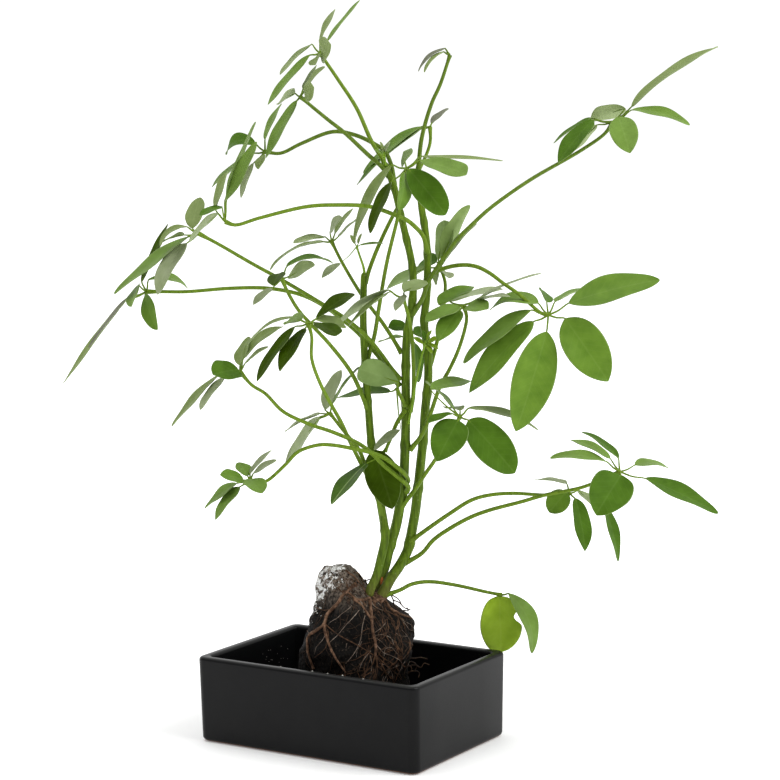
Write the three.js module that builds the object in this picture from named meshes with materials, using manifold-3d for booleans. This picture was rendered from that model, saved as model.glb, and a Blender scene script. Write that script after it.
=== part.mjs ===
// A young umbrella plant rooted over a lump of lava, standing in an open glazed tray.
// Units are millimetres, +Z is up, and the origin is the centre of the tray's underside.
// +X runs along the tray's long side and +Y towards its back.

import * as THREE from 'three';
import Module from 'manifold-3d';

const wasm = await Module();
wasm.setup();

// Tray
const TRAY_LENGTH = 153;
const TRAY_WIDTH = 103;
const TRAY_HEIGHT = 51;
const TRAY_WALL = 6;
const TRAY_FLOOR = 6;
const TRAY_TAPER = 0.8;
const TRAY_CORNER = 5.5;
const TRAY_CORNER_STEPS = 4;

// Clearance kept between pieces that touch
const GAP = 0.3;

// Line of sight that the plant was measured along: the eye looks at a point beside the trunk
const SIGHT_TURN = THREE.MathUtils.degToRad(32.6);
const SIGHT_DIP = THREE.MathUtils.degToRad(7.4);
const SIGHT_LEAN = THREE.MathUtils.degToRad(0.8);
const SIGHT_REACH = 1430;
const PLATE_REACH = 1470;
const AIM_ACROSS = 25;
const AIM_UP = 208;

// Leaf blades
const BLADE_THICK = 0.75;
const BLADE_FOLD = 0.1;
const BLADE_BOW = 0.03;
const BLADE_ROOT_WIDTH = 1.6;
const BLADE_TIP_WIDTH = 0.8;
const BLADE_ROOT_DEPTH = 0.2;
const LONG_BLADE = 25;
const LONG_STATIONS = [[0.2, 0.68], [0.5, 1], [0.8, 0.72]];
const SHORT_STATIONS = [[0.3, 0.88], [0.68, 0.92]];
const STALKLET_HALF = 0.55;
const STALK_RADIUS = 1.1;
const STALK_BASE_RADIUS = 1.5;
const STALK_SIDES = 5;
const STALK_STEP = 17;
const HUB_RADIUS = 2;

// Stems and roots
const STEM_SIDES = 7;
const STEM_STEP = 16;
const ROOT_SIDES = 5;
const ROOT_STEP = 13;
const ROOT_SEAT = 0.7;

// Colours, roughness and sheen of each finish
const FINISH = {
  glaze: { color: 0x29292a, roughness: 0.45, metalness: 0 },
  lava: { color: 0x1b1a19, roughness: 0.95, metalness: 0 },
  bark: { color: 0x8a5f41, roughness: 0.85, metalness: 0 },
  stem: { color: 0x4f7022, roughness: 0.6, metalness: 0 },
  leaf: { color: 0x648c30, roughness: 0.5, metalness: 0 },
  shoot: { color: 0x86a83a, roughness: 0.5, metalness: 0 },
};

const UP = new THREE.Vector3(0, 0, 1);
const ACROSS = new THREE.Vector3(Math.cos(SIGHT_TURN), Math.sin(SIGHT_TURN), 0);
const NEAR = new THREE.Vector3(Math.sin(SIGHT_TURN), -Math.cos(SIGHT_TURN), 0);
const BACK = NEAR.clone().multiplyScalar(Math.cos(SIGHT_DIP)).addScaledVector(UP, Math.sin(SIGHT_DIP));
const LIFT = BACK.clone().cross(ACROSS);
const PLATE_ACROSS = ACROSS.clone().multiplyScalar(Math.cos(SIGHT_LEAN))
  .addScaledVector(LIFT, -Math.sin(SIGHT_LEAN));
const PLATE_UP = ACROSS.clone().multiplyScalar(Math.sin(SIGHT_LEAN))
  .addScaledVector(LIFT, Math.cos(SIGHT_LEAN));
const EYE = ACROSS.clone().multiplyScalar(AIM_ACROSS).addScaledVector(UP, AIM_UP)
  .addScaledVector(BACK, SIGHT_REACH);

// A place on the plant: millimetres right of and above the centre of a clear plate that stands square
// to the line of sight, and millimetres by which the place is nearer to the eye than the tray's centre
function place([across, up, near]) {
  const ray = PLATE_ACROSS.clone().multiplyScalar(across).addScaledVector(PLATE_UP, up)
    .addScaledVector(BACK, -PLATE_REACH);
  const share = (near - EYE.dot(NEAR)) / ray.dot(NEAR);
  return EYE.clone().addScaledVector(ray, share);
}

// A closed solid from shared points and triangles, turned the right way round if it is inside out
function solidOf(points, triangles) {
  const vertProperties = new Float32Array(points.flatMap((p) => [p.x, p.y, p.z]));
  const make = (faces) => new wasm.Manifold(new wasm.Mesh({
    numProp: 3,
    vertProperties,
    triVerts: new Uint32Array(faces.flat()),
  }));
  const solid = make(triangles);
  return solid.volume() > 0 ? solid : make(triangles.map(([a, b, c]) => [a, c, b]));
}

// A solid skin over rings of equal length, closed by a fan at each end
function loft(rings) {
  const count = rings[0].length;
  const triangles = [];
  for (let row = 0; row + 1 < rings.length; row += 1) {
    for (let i = 0; i < count; i += 1) {
      const a = row * count + i;
      const b = row * count + ((i + 1) % count);
      triangles.push([a, b, b + count], [a, b + count, a + count]);
    }
  }
  const last = (rings.length - 1) * count;
  for (let i = 1; i + 1 < count; i += 1) {
    triangles.push([0, i + 1, i], [last, last + i, last + i + 1]);
  }
  return solidOf(rings.flat(), triangles);
}

// A round bar along a smooth curve, its radius given at each share of the length
function bar(points, radiusAt, sides, step) {
  const curve = new THREE.CatmullRomCurve3(points, false, 'centripetal');
  const steps = Math.max(2, Math.round(curve.getLength() / step));
  const frames = curve.computeFrenetFrames(steps, false);
  const rings = [];
  for (let row = 0; row <= steps; row += 1) {
    const share = row / steps;
    const centre = curve.getPointAt(share);
    const radius = radiusAt(share);
    const ring = [];
    for (let i = 0; i < sides; i += 1) {
      const angle = (2 * Math.PI * i) / sides;
      ring.push(centre.clone()
        .addScaledVector(frames.normals[row], radius * Math.cos(angle))
        .addScaledVector(frames.binormals[row], radius * Math.sin(angle)));
    }
    rings.push(ring);
  }
  return loft(rings);
}

// A ball or lump from a sphere geometry, stretched along the sight's own three directions
function lump(centre, [across, up, near], geometry) {
  const sphere = geometry.getAttribute('position');
  const points = [];
  const triangles = [];
  const known = new Map();
  const indexOf = (i) => {
    const key = [sphere.getX(i), sphere.getY(i), sphere.getZ(i)].map((v) => v.toFixed(4)).join();
    if (!known.has(key)) {
      known.set(key, points.length);
      points.push(centre.clone().addScaledVector(ACROSS, across * sphere.getX(i))
        .addScaledVector(UP, up * sphere.getY(i)).addScaledVector(NEAR, near * sphere.getZ(i)));
    }
    return known.get(key);
  };
  for (let i = 0; i < sphere.count; i += 3) {
    triangles.push([indexOf(i), indexOf(i + 1), indexOf(i + 2)]);
  }
  return solidOf(points, triangles);
}

function largestPiece(solid) {
  return solid.decompose().reduce((best, piece) => (piece.volume() > best.volume() ? piece : best));
}

// Tray

function trayRing(inset, height) {
  const halfLength = TRAY_LENGTH / 2 - inset;
  const halfWidth = TRAY_WIDTH / 2 - inset;
  const radius = Math.max(TRAY_CORNER - inset / 2, 2);
  const ring = [];
  for (const [sx, sy, start] of [[1, 1, 0], [-1, 1, 1], [-1, -1, 2], [1, -1, 3]]) {
    for (let i = 0; i <= TRAY_CORNER_STEPS; i += 1) {
      const angle = (Math.PI / 2) * (start + i / TRAY_CORNER_STEPS);
      ring.push(new THREE.Vector3(
        sx * (halfLength - radius) + radius * Math.cos(angle),
        sy * (halfWidth - radius) + radius * Math.sin(angle),
        height,
      ));
    }
  }
  return ring;
}

function tray() {
  const inner = TRAY_WALL;
  return loft([
    trayRing(3.2, 0),
    trayRing(2.6, 1),
    trayRing(TRAY_TAPER + 0.5, 2.6),
    trayRing(TRAY_TAPER, 6),
    trayRing(0, TRAY_HEIGHT - 2),
    trayRing(0.6, TRAY_HEIGHT - 0.6),
    trayRing(2, TRAY_HEIGHT),
    trayRing(inner - 2, TRAY_HEIGHT),
    trayRing(inner - 0.6, TRAY_HEIGHT - 0.6),
    trayRing(inner, TRAY_HEIGHT - 2),
    trayRing(inner + TRAY_TAPER, TRAY_FLOOR + 4),
    trayRing(inner + TRAY_TAPER + 1.2, TRAY_FLOOR + 1.2),
    trayRing(inner + TRAY_TAPER + 4, TRAY_FLOOR),
  ]);
}

// Lava rock: level sections as [height, centre across, centre near, half across, half near]

const ROCK_SECTIONS = [
  [6.3, 2.5, 0, 27.5, 26],
  [12, 2.5, 0, 30, 29],
  [26, 2.6, 0, 31.4, 30],
  [44, 3.4, 0, 32, 30.5],
  [58, 5.2, 0, 33.4, 30],
  [70, 5.2, 0, 31.7, 27],
  [79, 3.3, 0, 26.6, 23],
  [86, 0.2, 0, 19.6, 17.5],
  [92, -4, 0, 14, 12.5],
  [98.5, -5.4, 0, 10.6, 9.5],
  [104.2, -6, 0, 5.5, 5.5],
];
const ROCK_SIDES = 26;
const ROCK_RUGGED = 1.5;

function rockSection(height) {
  const last = ROCK_SECTIONS.length - 1;
  let row = 0;
  while (row < last - 1 && ROCK_SECTIONS[row + 1][0] < height) {
    row += 1;
  }
  const [low, high] = [ROCK_SECTIONS[row], ROCK_SECTIONS[row + 1]];
  const share = (height - low[0]) / (high[0] - low[0]);
  return low.map((value, i) => value + (high[i] - value) * share);
}

function rockRoughness(angle, height) {
  const ribs = Math.sin(3 * angle + height / 9) + 0.8 * Math.sin(5 * angle - height / 6 + 1);
  const pits = 0.6 * Math.sin(9 * angle + height / 3.5) * Math.sin(height / 5 + 2 * angle);
  return ROCK_RUGGED * (ribs + pits);
}

function rockPoint(angle, height, grow) {
  const [, across, near, halfAcross, halfNear] = rockSection(height);
  const rough = rockRoughness(angle, height) * Math.min(1, halfAcross / 20);
  return new THREE.Vector3()
    .addScaledVector(ACROSS, across + (halfAcross + grow + rough) * Math.cos(angle))
    .addScaledVector(NEAR, near + (halfNear + grow + rough) * Math.sin(angle))
    .addScaledVector(UP, height);
}

function rockHolds(point, grow) {
  const height = point.z;
  const top = ROCK_SECTIONS[ROCK_SECTIONS.length - 1][0];
  if (height > top + grow) {
    return false;
  }
  const [, across, near, halfAcross, halfNear] = rockSection(height);
  const dx = point.dot(ACROSS) - across;
  const dy = point.dot(NEAR) - near;
  const angle = Math.atan2(dy / halfNear, dx / halfAcross);
  const rough = rockRoughness(angle, height) * Math.min(1, halfAcross / 20);
  return Math.hypot(dx / (halfAcross + grow + rough), dy / (halfNear + grow + rough)) < 1;
}

function lavaRock(grow) {
  const [first, last] = [ROCK_SECTIONS[0][0], ROCK_SECTIONS[ROCK_SECTIONS.length - 1][0]];
  const heights = ROCK_SECTIONS.map(([height]) => height);
  heights[0] = first - grow;
  heights[heights.length - 1] = last + grow;
  const rings = heights.map((height) => {
    const ring = [];
    for (let i = 0; i < ROCK_SIDES; i += 1) {
      ring.push(rockPoint((2 * Math.PI * i) / ROCK_SIDES, height, grow));
    }
    return ring;
  });
  return loft(rings);
}

// Roots run down the face of the rock that is seen; each is [radius at the top, radius at the end,
// [across, up] places on the plate], and the last ones spread on the floor of the tray

const NEAREST = 60;
const FARTHEST = -50;
const SEARCH_STEP = 0.5;

function onRock([across, up], lift) {
  for (let near = NEAREST; near > FARTHEST; near -= SEARCH_STEP) {
    const point = place([across, up, near]);
    if (rockHolds(point, lift)) {
      return point;
    }
  }
  return null;
}

const CROWN = [-7.5, -123.4, 4];
const CROWN_SIZE = [8.3, 5.2, 9.3];
const ROOTS = [
  [1.5, 1.0, [[-20, -116], [-26.5, -121.5], [-31.5, -128], [-38, -136], [-39, -140], [-47, -146.5],
    [-49.5, -153.5], [-47, -164]]],
  [1.1, 0.8, [[-39, -140], [-38, -149], [-33, -160], [-26.5, -169.5]]],
  [1.5, 0.9, [[-11, -125], [-11.5, -132.5], [-10.5, -144.5], [-8.5, -155], [-9, -160], [-8, -173]]],
  [1.3, 0.9, [[-10, -125], [-16, -126], [-21, -125.5], [-28.5, -120.5]]],
  [1.1, 0.8, [[-21.5, -125.5], [-15, -132.5], [-11.2, -140]]],
  [1.5, 0.8, [[-8, -125], [-3, -126.5], [2.5, -132.5], [10.5, -136], [13, -138]]],
  [0.9, 0.7, [[-13, -124], [-16, -119], [-21.5, -111.5], [-26.5, -108.5]]],
  [0.9, 0.7, [[-9, -160], [-4.5, -166], [1, -173.5]]],
  [0.9, 0.7, [[-8.5, -155.5], [1, -164], [5.5, -168.5]]],
  [0.9, 0.7, [[-39, -140.5], [-24.5, -150.5], [-9, -159]]],
  [0.9, 0.7, [[-7, -125.5], [-3, -130.5], [2, -139.5], [3.5, -144]]],
];

// Stems: places from the root crown up to the growing tip, and the radius at the foot and at the tip

const STEMS = {
  left: {
    radii: [2.7, 2.0],
    path: [[-11.5, -119, 9], [-8, -111, 8], [-5.5, -101, 8], [-3, -89, 8],
      [-3.5, -81, 7], [-5.5, -69, 6], [-11, -34, 4], [-13, -10, 3], [-15, 16, 2], [-16, 38, 2],
      [-16, 52, 2], [-15.5, 71, 2]],
  },
  middle: {
    radii: [3.3, 1.8],
    path: [[-8, -118.5, -1], [-6, -114, -1.5], [-3, -105, -1], [-0.5, -95, 0], [3.5, -82, 0], [6, -69, 0],
      [8, -56, 0], [9, -36, 0], [9.5, -17, 0], [9.5, 16, 0], [10, 31, 0], [11.5, 41, 0], [13.5, 54, 0],
      [14, 66, 0], [12.5, 79, 0], [10, 90, 0], [5.5, 109, 0], [2.5, 121, 0], [-1, 131, 0], [-3, 137, 0]],
  },
  right: {
    radii: [3.2, 1.9],
    path: [[-3, -119.5, 6], [0.5, -113, 4], [6, -105, 0], [11, -95, -3], [13, -85, -4], [15, -74, -4],
      [16.5, -62, -4], [18.5, -43, -4], [20, -29, -4], [21, -13, -4], [22.5, 1, -4], [23, 10, -4],
      [22.5, 23, -4], [20.5, 41, -4], [22, 57, -4], [22.5, 78, -4], [22, 88, -4], [20.5, 100, -5],
      [19, 109, -5], [17, 132, -5]],
  },
};

// Leaves. Each has its stem, the side that its upper faces turn to as [across, up], its hub, the stalk's
// places from the hub down to the stem, and its blades. A blade is root across, root up, tip across,
// tip up, tip near, width, turn of the upper face away from the eye in degrees, and at times its own bow

const LEAVES = {
  leaf_top_left_1: {
    stem: 'middle',
    face: [-0.6, 0.8],
    hub: [-42, 202, -10],
    stalk: [[-31, 186, -8], [-20, 169, -5], [-11, 149, -2], [-5.5, 140, -1], [-2, 133, 0]],
    blades: [
      [-38, 209, -18, 234, -15, 9, 78, 0],
      [-42, 210, -33.5, 227.5, -36, 10, 64, 0],
      [-41, 201, -35.5, 207.5, 18, 15, 42],
      [-44, 200, -45, 195, 8, 9, 50],
      [-48, 201, -73.5, 171, -5, 12, 68, 0.5],
      [-47, 207.5, -65, 189.5, -22, 8, 100],
    ],
  },
  leaf_top_left_2: {
    stem: 'middle',
    face: [-0.7, 0.7],
    hub: [-54, 176, 4],
    stalk: [[-37, 162, 5], [-28, 155, 5], [-13, 141, 4], [-5, 134, 2.5], [-0.5, 128, 0]],
    blades: [
      [-52, 181, -44, 195, -22, 7, 72, 0],
      [-50.5, 181, -39, 194, 24, 8, 72, 1],
      [-51, 175.5, -45.5, 181.5, 28, 12, 40],
      [-57, 178, -67, 172, 26, 12, 110],
      [-56, 173.5, -74.5, 139, 14, 12, 60, 0.5],
    ],
  },
  leaf_top_left_3: {
    stem: 'middle',
    face: [-0.6, 0.8],
    hub: [-75, 143, -8],
    stalk: [[-66, 142, -8], [-53, 148, -8], [-34, 155, -8], [-21, 153, -8], [-10, 148, -8], [-3, 143, -6],
      [1, 134, -4], [2.5, 123, -1]],
    blades: [
      [-75, 150.5, -65, 172, -24, 9, 68],
      [-81, 148, -98, 141, -16, 14, 62, 6],
      [-82, 142, -107, 121.5, -12, 10, 106],
      [-82, 136, -89.5, 115, -4, 8, 62],
      [-76, 141, -79, 132.5, 5, 7, 45],
    ],
  },
  leaf_upper_left_1: {
    stem: 'right',
    face: [-0.7, 0.7],
    hub: [-99, 101, 22],
    stalk: [[-93, 99, 22], [-79, 103, 20], [-50, 110, 18], [-32, 111, 16], [-12, 110, 14], [3, 105, 12],
      [10, 102, 9], [15, 98, 6], [20, 92, 1], [22.5, 82, -3]],
    blades: [
      [-98, 114, -80, 149, 16, 14, 56, 0],
      [-99, 114, -80.5, 161, 2, 11, 105, 0],
      [-101, 110, -114, 104.5, 44, 8, 62],
      [-103, 106, -120.5, 89, 36, 11, 110],
      [-105, 109, -97.5, 131, 34, 9, 60],
    ],
  },
  leaf_upper_left_2: {
    stem: 'middle',
    face: [-0.8, 0.6],
    hub: [-115, 94, 12],
    stalk: [[-102, 87, 12], [-83, 76, 11], [-63, 65, 10], [-38, 50, 9], [-27, 43, 8], [-14, 32, 7],
      [-5, 21, 5], [0, 14, 3], [6, 6, 1]],
    blades: [
      [-118.5, 97, -114, 115.5, -12, 12, 30],
      [-122, 98, -138, 86, 16, 8, 66, 4],
      [-124, 93, -136, 89, 34, 9, 100],
      [-121, 92, -165.5, 57.5, 10, 18, 71, 0.5],
      [-122, 88, -139.5, 57, 28, 15, 52, 3],
    ],
  },
  leaf_far_left: {
    stem: 'middle',
    face: [-0.6, 0.8],
    hub: [-146, 59, 0],
    stalk: [[-137, 59, 0], [-122, 59, 0], [-96, 61, 0], [-73, 61, 0], [-53, 57, 0], [-39, 50, 0],
      [-27, 41, -2], [-19, 34, -4], [-11, 25, -4], [-3, 15, -3], [6, 2, -1]],
    blades: [
      [-157, 56, -181, 25, 14, 10, 80, 0],
      [-159, 54, -196, 4, -2, 11, 74, 0],
      [-147, 57, -139.5, 36, 24, 12, 42],
      [-145, 66, -121.5, 61, -14, 13, 62, 4],
      [-151, 63, -155, 50, 24, 12, 65],
      [-149, 65, -133, 100, -12, 9, 64, 0],
    ],
  },
  leaf_mid_left_1: {
    stem: 'left',
    face: [0, 1],
    hub: [-65, 67, 24],
    stalk: [[-62, 60, 24], [-55, 48, 22], [-47, 39, 19], [-35, 26, 15], [-23, 10, 10], [-16, -5, 6],
      [-13, -13, 3]],
    blades: [
      [-66, 65, -69, 62, 46, 11, 60],
      [-71, 61, -82, 51, 36, 8, 58],
      [-61, 68, -45, 75, 6, 13, 125],
      [-62, 74, -34, 76, 14, 14, 80, 4],
    ],
  },
  leaf_mid_left_2: {
    stem: 'left',
    face: [-0.3, 0.9],
    hub: [-49, 40, 40],
    stalk: [[-47, 32, 39], [-47, 19, 36], [-41, 2, 30], [-29, -20, 21], [-24, -31, 18], [-18, -43, 14],
      [-9.5, -60, 10], [-4, -77, 7]],
    blades: [
      [-57, 44, -86, 26, 36, 9, 84, 4],
      [-57, 38, -80, 5, 58, 12, 62],
      [-51, 37, -66, 11, 64, 15, 58],
      [-53, 42, -62, 41, 66, 12, 120],
      [-46, 39, -33, 31, 62, 13, 55],
      [-45, 42, -27, 37, 26, 12, 75],
      [-44, 43, -22, 58, 22, 14, 58],
    ],
  },
  leaf_inner_left: {
    stem: 'middle',
    face: [-0.3, 0.9],
    hub: [-35, 89, -16],
    stalk: [[-29, 77, -14], [-17, 57, -12], [-5, 41, -8], [1, 32, -4], [7, 22, -1]],
    blades: [
      [-39, 92, -58, 88, -30, 11, 110],
      [-40, 89, -72, 72, -8, 14, 88, 4],
      [-36, 95, -29, 104, 0, 9, 60],
      [-33, 94, -22, 109, -30, 7, 68],
      [-31, 92, -17, 104, -26, 9, 88],
    ],
  },
  leaf_mid_left_3: {
    stem: 'middle',
    face: [-0.5, 0.9],
    hub: [-90, 11, 26],
    stalk: [[-83, 3, 26], [-75, -2, 25], [-64, -13, 25], [-47, -21, 26], [-35, -25, 26], [-19, -32, 24],
      [-12, -37, 23], [-4, -45, 21], [2, -50, 20], [7, -54, 19], [11, -58, 12],
      [10, -61, 3]],
    blades: [
      [-91, 12, -106, 9, 46, 18, 44],
      [-103, 9, -131, -22, 34, 14, 74, 0.5],
      [-99, 8, -114, -12, 46, 11, 66],
      [-90, 15, -84.5, 32, 12, 14, 62],
      [-88, 19, -64, 38, 16, 13, 66, 3],
      [-87, 16, -73, 26, 40, 8, 76],
    ],
  },
  leaf_low_left_1: {
    stem: 'middle',
    face: [-0.4, 0.9],
    hub: [-84, -54, 34],
    stalk: [[-78, -56, 34], [-73, -54, 33], [-63, -45, 32], [-55, -37, 32], [-43, -33, 32], [-35, -33, 31],
      [-23, -35, 30], [-10, -38, 28], [-3, -41, 25], [4, -46, 23], [8.5, -50, 20], [11, -54, 10],
      [9.5, -56, 2]],
    blades: [
      [-88, -54, -102, -51, 46, 11, 50],
      [-86, -51, -91, -44, 24, 9, 48],
      [-84, -50, -71, -36, 22, 7, 66],
      [-82, -50, -68, -42, 42, 7, 60],
      [-92, -56, -111, -71, 34, 13, 68],
      [-90, -58, -105, -78, 46, 14, 64],
      [-83, -55, -77, -62, 52, 12, 45],
    ],
  },
  leaf_low_left_2: {
    stem: 'left',
    face: [-0.2, 1],
    hub: [-36, -14, 12],
    stalk: [[-29, -23, 12], [-24, -29, 11], [-18, -37, 10], [-14, -48, 8], [-8, -60, 6]],
    blades: [
      [-39, -12, -29, 12, 6, 14, 55],
      [-35, -9, -18, 14, -4, 13, 88],
      [-42, -14, -63, -25, 12, 13, 86],
      [-42, -16, -60, -43, 22, 14, 115],
      [-42, -17, -63, -44, 4, 13, 75],
    ],
  },
  leaf_inner_front: {
    stem: 'middle',
    face: [-0.2, 1],
    hub: [4, 1, 10],
    stalk: [[6, -3, 8], [9, -9, 2]],
    blades: [
      [0, 3, -19, 9, 20, 16, 165],
      [0, -1, -32, -5, -24, 14, 70],
      [5, -22, -8, -34, 12, 9, 60],
    ],
  },
  leaf_low_front: {
    stem: 'middle',
    face: [-0.2, 0.9],
    hub: [-3, -37, 8],
    stalk: [[0, -30, 8], [4, -20, 6], [9, -12, 2]],
    blades: [
      [-10, -36, 1.5, -71.5, 17, 21, 8],
      [-14, -44, -35, -69, 42, 14, 58],
    ],
  },
  leaf_upper_front: {
    stem: 'left',
    face: [0.2, 0.9],
    hub: [10, 133, 22],
    stalk: [[9, 124, 20], [4.5, 103, 16], [-2, 76, 7], [-7, 47, 2], [-9.5, 32, 0], [-14, 17, 1]],
    blades: [
      [11, 132.5, 33.5, 105, 36, 17.5, 16],
      [9, 137, 8, 143, -4, 13, 130],
      [1, 125, -12, 94, 30, 13, 60],
      [9, 130, 5, 108, 40, 14, 55],
      [1, 135, -21.5, 88, -14, 11, 58, 4],
      [18, 140, 68, 137.5, 26, 6, 72, 0.5],
      [18, 138, 46, 129, 44, 16, 52, 0.5],
    ],
  },
  leaf_upper_back: {
    stem: 'left',
    face: [0, 1],
    hub: [24, 158, -14],
    stalk: [[24, 148, -14], [17, 131, -12], [9, 117, -10], [1.5, 104, -8], [-7.5, 85, -4],
      [-12.5, 72, -2], [-15, 64, 1]],
    blades: [
      [25, 160, 35, 169, -30, 8, 66],
      [19, 158, -16, 130, -32, 14, 70, 2],
      [19, 157, -20, 123, -24, 15, 80],
    ],
  },
  leaf_top_sprout: {
    stem: 'right',
    face: [-0.2, 1],
    hub: [36, 201, -8],
    stalk: [[30, 183, -7], [25, 172, -6], [19, 151, -5], [17, 132, -5]],
    blades: [
      [33, 205, 17, 191, -8, 6, 72, 2.5],
      [32, 203, 20.5, 190.5, 0, 5, 66, 2],
    ],
  },
  leaf_far_right_top: {
    stem: 'middle',
    face: [0.2, 1],
    hub: [134, 161, -18],
    stalk: [[129, 154, -18], [115, 144, -15], [84, 126, -8], [60, 109, -2], [49, 99, 2], [41, 91, 4],
      [28, 73, 6], [23, 65, 5], [19, 54, 4], [13, 45, 1]],
    blades: [
      [145, 170, 197, 206, -24, 18, 75, 3],
      [145, 168, 180, 159, -2, 15, 69, 4],
      [137, 164, 144, 142, 4, 17, 10],
      [140, 167, 121, 161.5, -38, 13, 130],
      [122, 162, 101, 136, -4, 16, 50],
      [124, 159, 110, 143, -24, 13, 120],
      [121, 163, 98, 148, -32, 11, 80],
    ],
  },
  leaf_right_big: {
    stem: 'right',
    face: [0.3, 0.9],
    hub: [95, 45, 34],
    stalk: [[91, 46, 33], [78, 57, 28], [68, 64, 23], [60, 70, 18], [52, 74, 12], [44, 75, 6],
      [36, 74, 1], [30, 72, -2], [23, 68, -4]],
    blades: [
      [107, 52, 162, 66, 40, 22, 45],
      [105, 43, 131, 5, 48, 25, 8],
      [94, 35, 75.5, -25, 50, 27, 12],
      [86, 41, 47.5, -2, 38, 21, 47],
      [85, 48, 44, 16, 26, 19, 62],
      [89, 52, 60, 48, 14, 15, 66, 5],
      [94, 53, 91, 60, 2, 10, 60],
      [99, 53, 122, 62, 12, 15, 84],
    ],
  },
  leaf_inner_right: {
    stem: 'middle',
    face: [0, 1],
    hub: [44, 51, 16],
    stalk: [[46, 44, 16], [45, 37, 15], [41, 24, 13], [36, 13, 11], [30, 2, 8], [24, -15, 4],
      [19, -27, 3], [12, -36, 1]],
    blades: [
      [46, 50, 59, 48.5, 36, 14, 54],
      [42, 50, 21, 41, 30, 13, 56],
      [42, 48, 29, 29, 36, 14, 35],
      [29, 51.5, 50.5, 62, -4, 15, 60],
      [36, 53, 68, 60.5, -12, 10, 112],
      [53, 55, 91, 70, 6, 10, 86],
      [52, 54, 72, 56, 32, 12, 84],
    ],
  },
  leaf_inner_middle: {
    stem: 'middle',
    face: [-0.3, 0.9],
    hub: [8, 55, 12],
    stalk: [[9.5, 50, 10], [11.5, 42, 8], [13, 33, 6], [13.8, 22, 5], [14.3, 8, 4], [13.8, -5, 3],
      [12, -13, 1.5]],
    blades: [
      [-1, 60, -33, 38, 16, 13, 112],
      [0, 59, -25, 38, 28, 12, 80],
      [8.5, 59, 22, 65, 30, 13, 125],
      [9, 57, 3.3, 47.5, 28, 7, 45],
    ],
  },
  leaf_inner_hidden: {
    stem: 'middle',
    face: [0, 1],
    hub: [11, 33, -14],
    stalk: [[11, 24, -12], [10.5, 14, -8], [10, 2, -2]],
    blades: [
      [10, 38, -1, 37.5, -9.5, 12, 52],
      [7, 32, -7, 28.5, -24, 11, 86],
      [14, 34, 23.5, 32.5, -24, 12, 52],
      [15, 28, 17, 4.5, -16, 12, 62],
    ],
  },
  leaf_inner_back: {
    stem: 'right',
    face: [0.2, 1],
    hub: [30, 74, -22],
    stalk: [[33, 65, -21], [33, 58, -19], [31, 42, -15], [27, 24, -10], [23, 10, -5]],
    blades: [
      [29, 78, 32.5, 102, -30, 16, 135],
      [31, 80, 48, 111, -26, 17, 122],
      [33, 78, 52, 100, -16, 13, 75],
      [28, 77, 17, 74.5, -38, 14, 55],
      [22, 73.5, -2, 60.5, -26, 13, 118],
      [33, 71, 36, 67, -10, 8, 50],
      [29, 71, 27, 64, -12, 9, 120],
    ],
  },
  leaf_mid_right: {
    stem: 'middle',
    face: [0.2, 0.9],
    hub: [42, -16, 40],
    stalk: [[35, -30, 30], [27, -42, 21], [20, -52, 12], [14, -61, 5], [7, -70, 1]],
    blades: [
      [41, -18, 28, -43, 60, 21, 10],
      [47, -18, 75, -50, 52, 22, 12],
      [37, -14, 23, -20, 52, 12, 70],
      [42, -12, 34, -11, 18, 12, 80],
      [47, -11, 89, -24, 36, 14, 74, 3],
      [38, -11, 21, 5, 14, 13, 86],
      [24.5, 0.5, 48.5, 5.5, 12, 13, 58],
    ],
  },
  leaf_low_right_1: {
    stem: 'right',
    face: [0.2, 0.95],
    hub: [138, -49, 42],
    stalk: [[122, -56, 36], [113, -59, 33], [93, -63, 27], [79, -67, 21], [60, -72, 14], [49, -76, 10],
      [36, -83, 6], [26, -90, 3], [19, -98, 0], [7, -105, -2]],
    blades: [
      [138.5, -51, 123.5, -75, 66, 25, 5],
      [153, -53, 197, -74, 48, 20, 63, 0.5],
      [147, -45, 167, -47, 20, 11, 70, 2],
      [137, -41, 115, -25, 14, 11, 70, 1.5],
      [132, -41, 108, -30, 30, 11, 66, 1.5],
      [130, -43, 96, -41, 48, 13, 66, 2.5],
      [128, -68, 137, -103, 46, 13, 62],
    ],
  },
  leaf_low_right_2: {
    stem: 'right',
    face: [0.1, 1],
    hub: [108, -62, 16],
    stalk: [[93, -63, 14], [74, -62, 13], [60, -63, 12], [49, -66, 10], [36, -74, 7], [23, -83, 2],
      [12, -91, -2]],
    blades: [
      [106, -61, 95, -73.5, 21, 16, 10],
      [111, -65, 117, -97, 24, 15, 47],
      [106, -56, 87, -54, 2, 12, 82],
      [113, -60, 121, -69, 0, 10, 120],
    ],
  },
  leaf_lowest_right: {
    stem: 'crown',
    face: [0.7, 0.7],
    hub: [67, -123, -12],
    stalk: [[57, -121, -11], [39, -117, -8], [23, -115, -4], [13, -116.5, 0], [6, -120, 4], [-2.5, -123, 6]],
    blades: [
      [65, -126, 66, -157, -14, 27, 12],
      [71, -122, 85, -158, -8, 15, 48, 7],
    ],
  },
  shoot_left_tip: {
    stem: 'left',
    face: [-0.3, 1],
    hub: [-20, 86, 3],
    stalk: [[-18, 80, 3], [-16, 74, 3], [-15, 68, 2]],
    blades: [
      [-21, 88, -24, 93, 8, 3.5, 40],
      [-19, 88, -17, 94, -2, 3.5, 60],
      [-18, 87, -4, 88, 6, 4, 70],
      [-30, 76, -41, 67, 8, 9, 60],
    ],
  },
  shoot_middle_tip: {
    stem: 'middle',
    face: [0, 1],
    hub: [-3.5, 141, 5],
    stalk: [[-3.2, 139, 3.5], [-3, 135, 1]],
    blades: [
      [-5, 142, -9, 144, 9, 3.5, 60],
      [-3, 143, 0, 149, 8, 3.5, 60],
      [-4, 143, -6, 149, 6, 3.5, 60],
    ],
  },
  shoot_right_tuft: {
    stem: 'middle',
    face: [0.2, 1],
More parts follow.
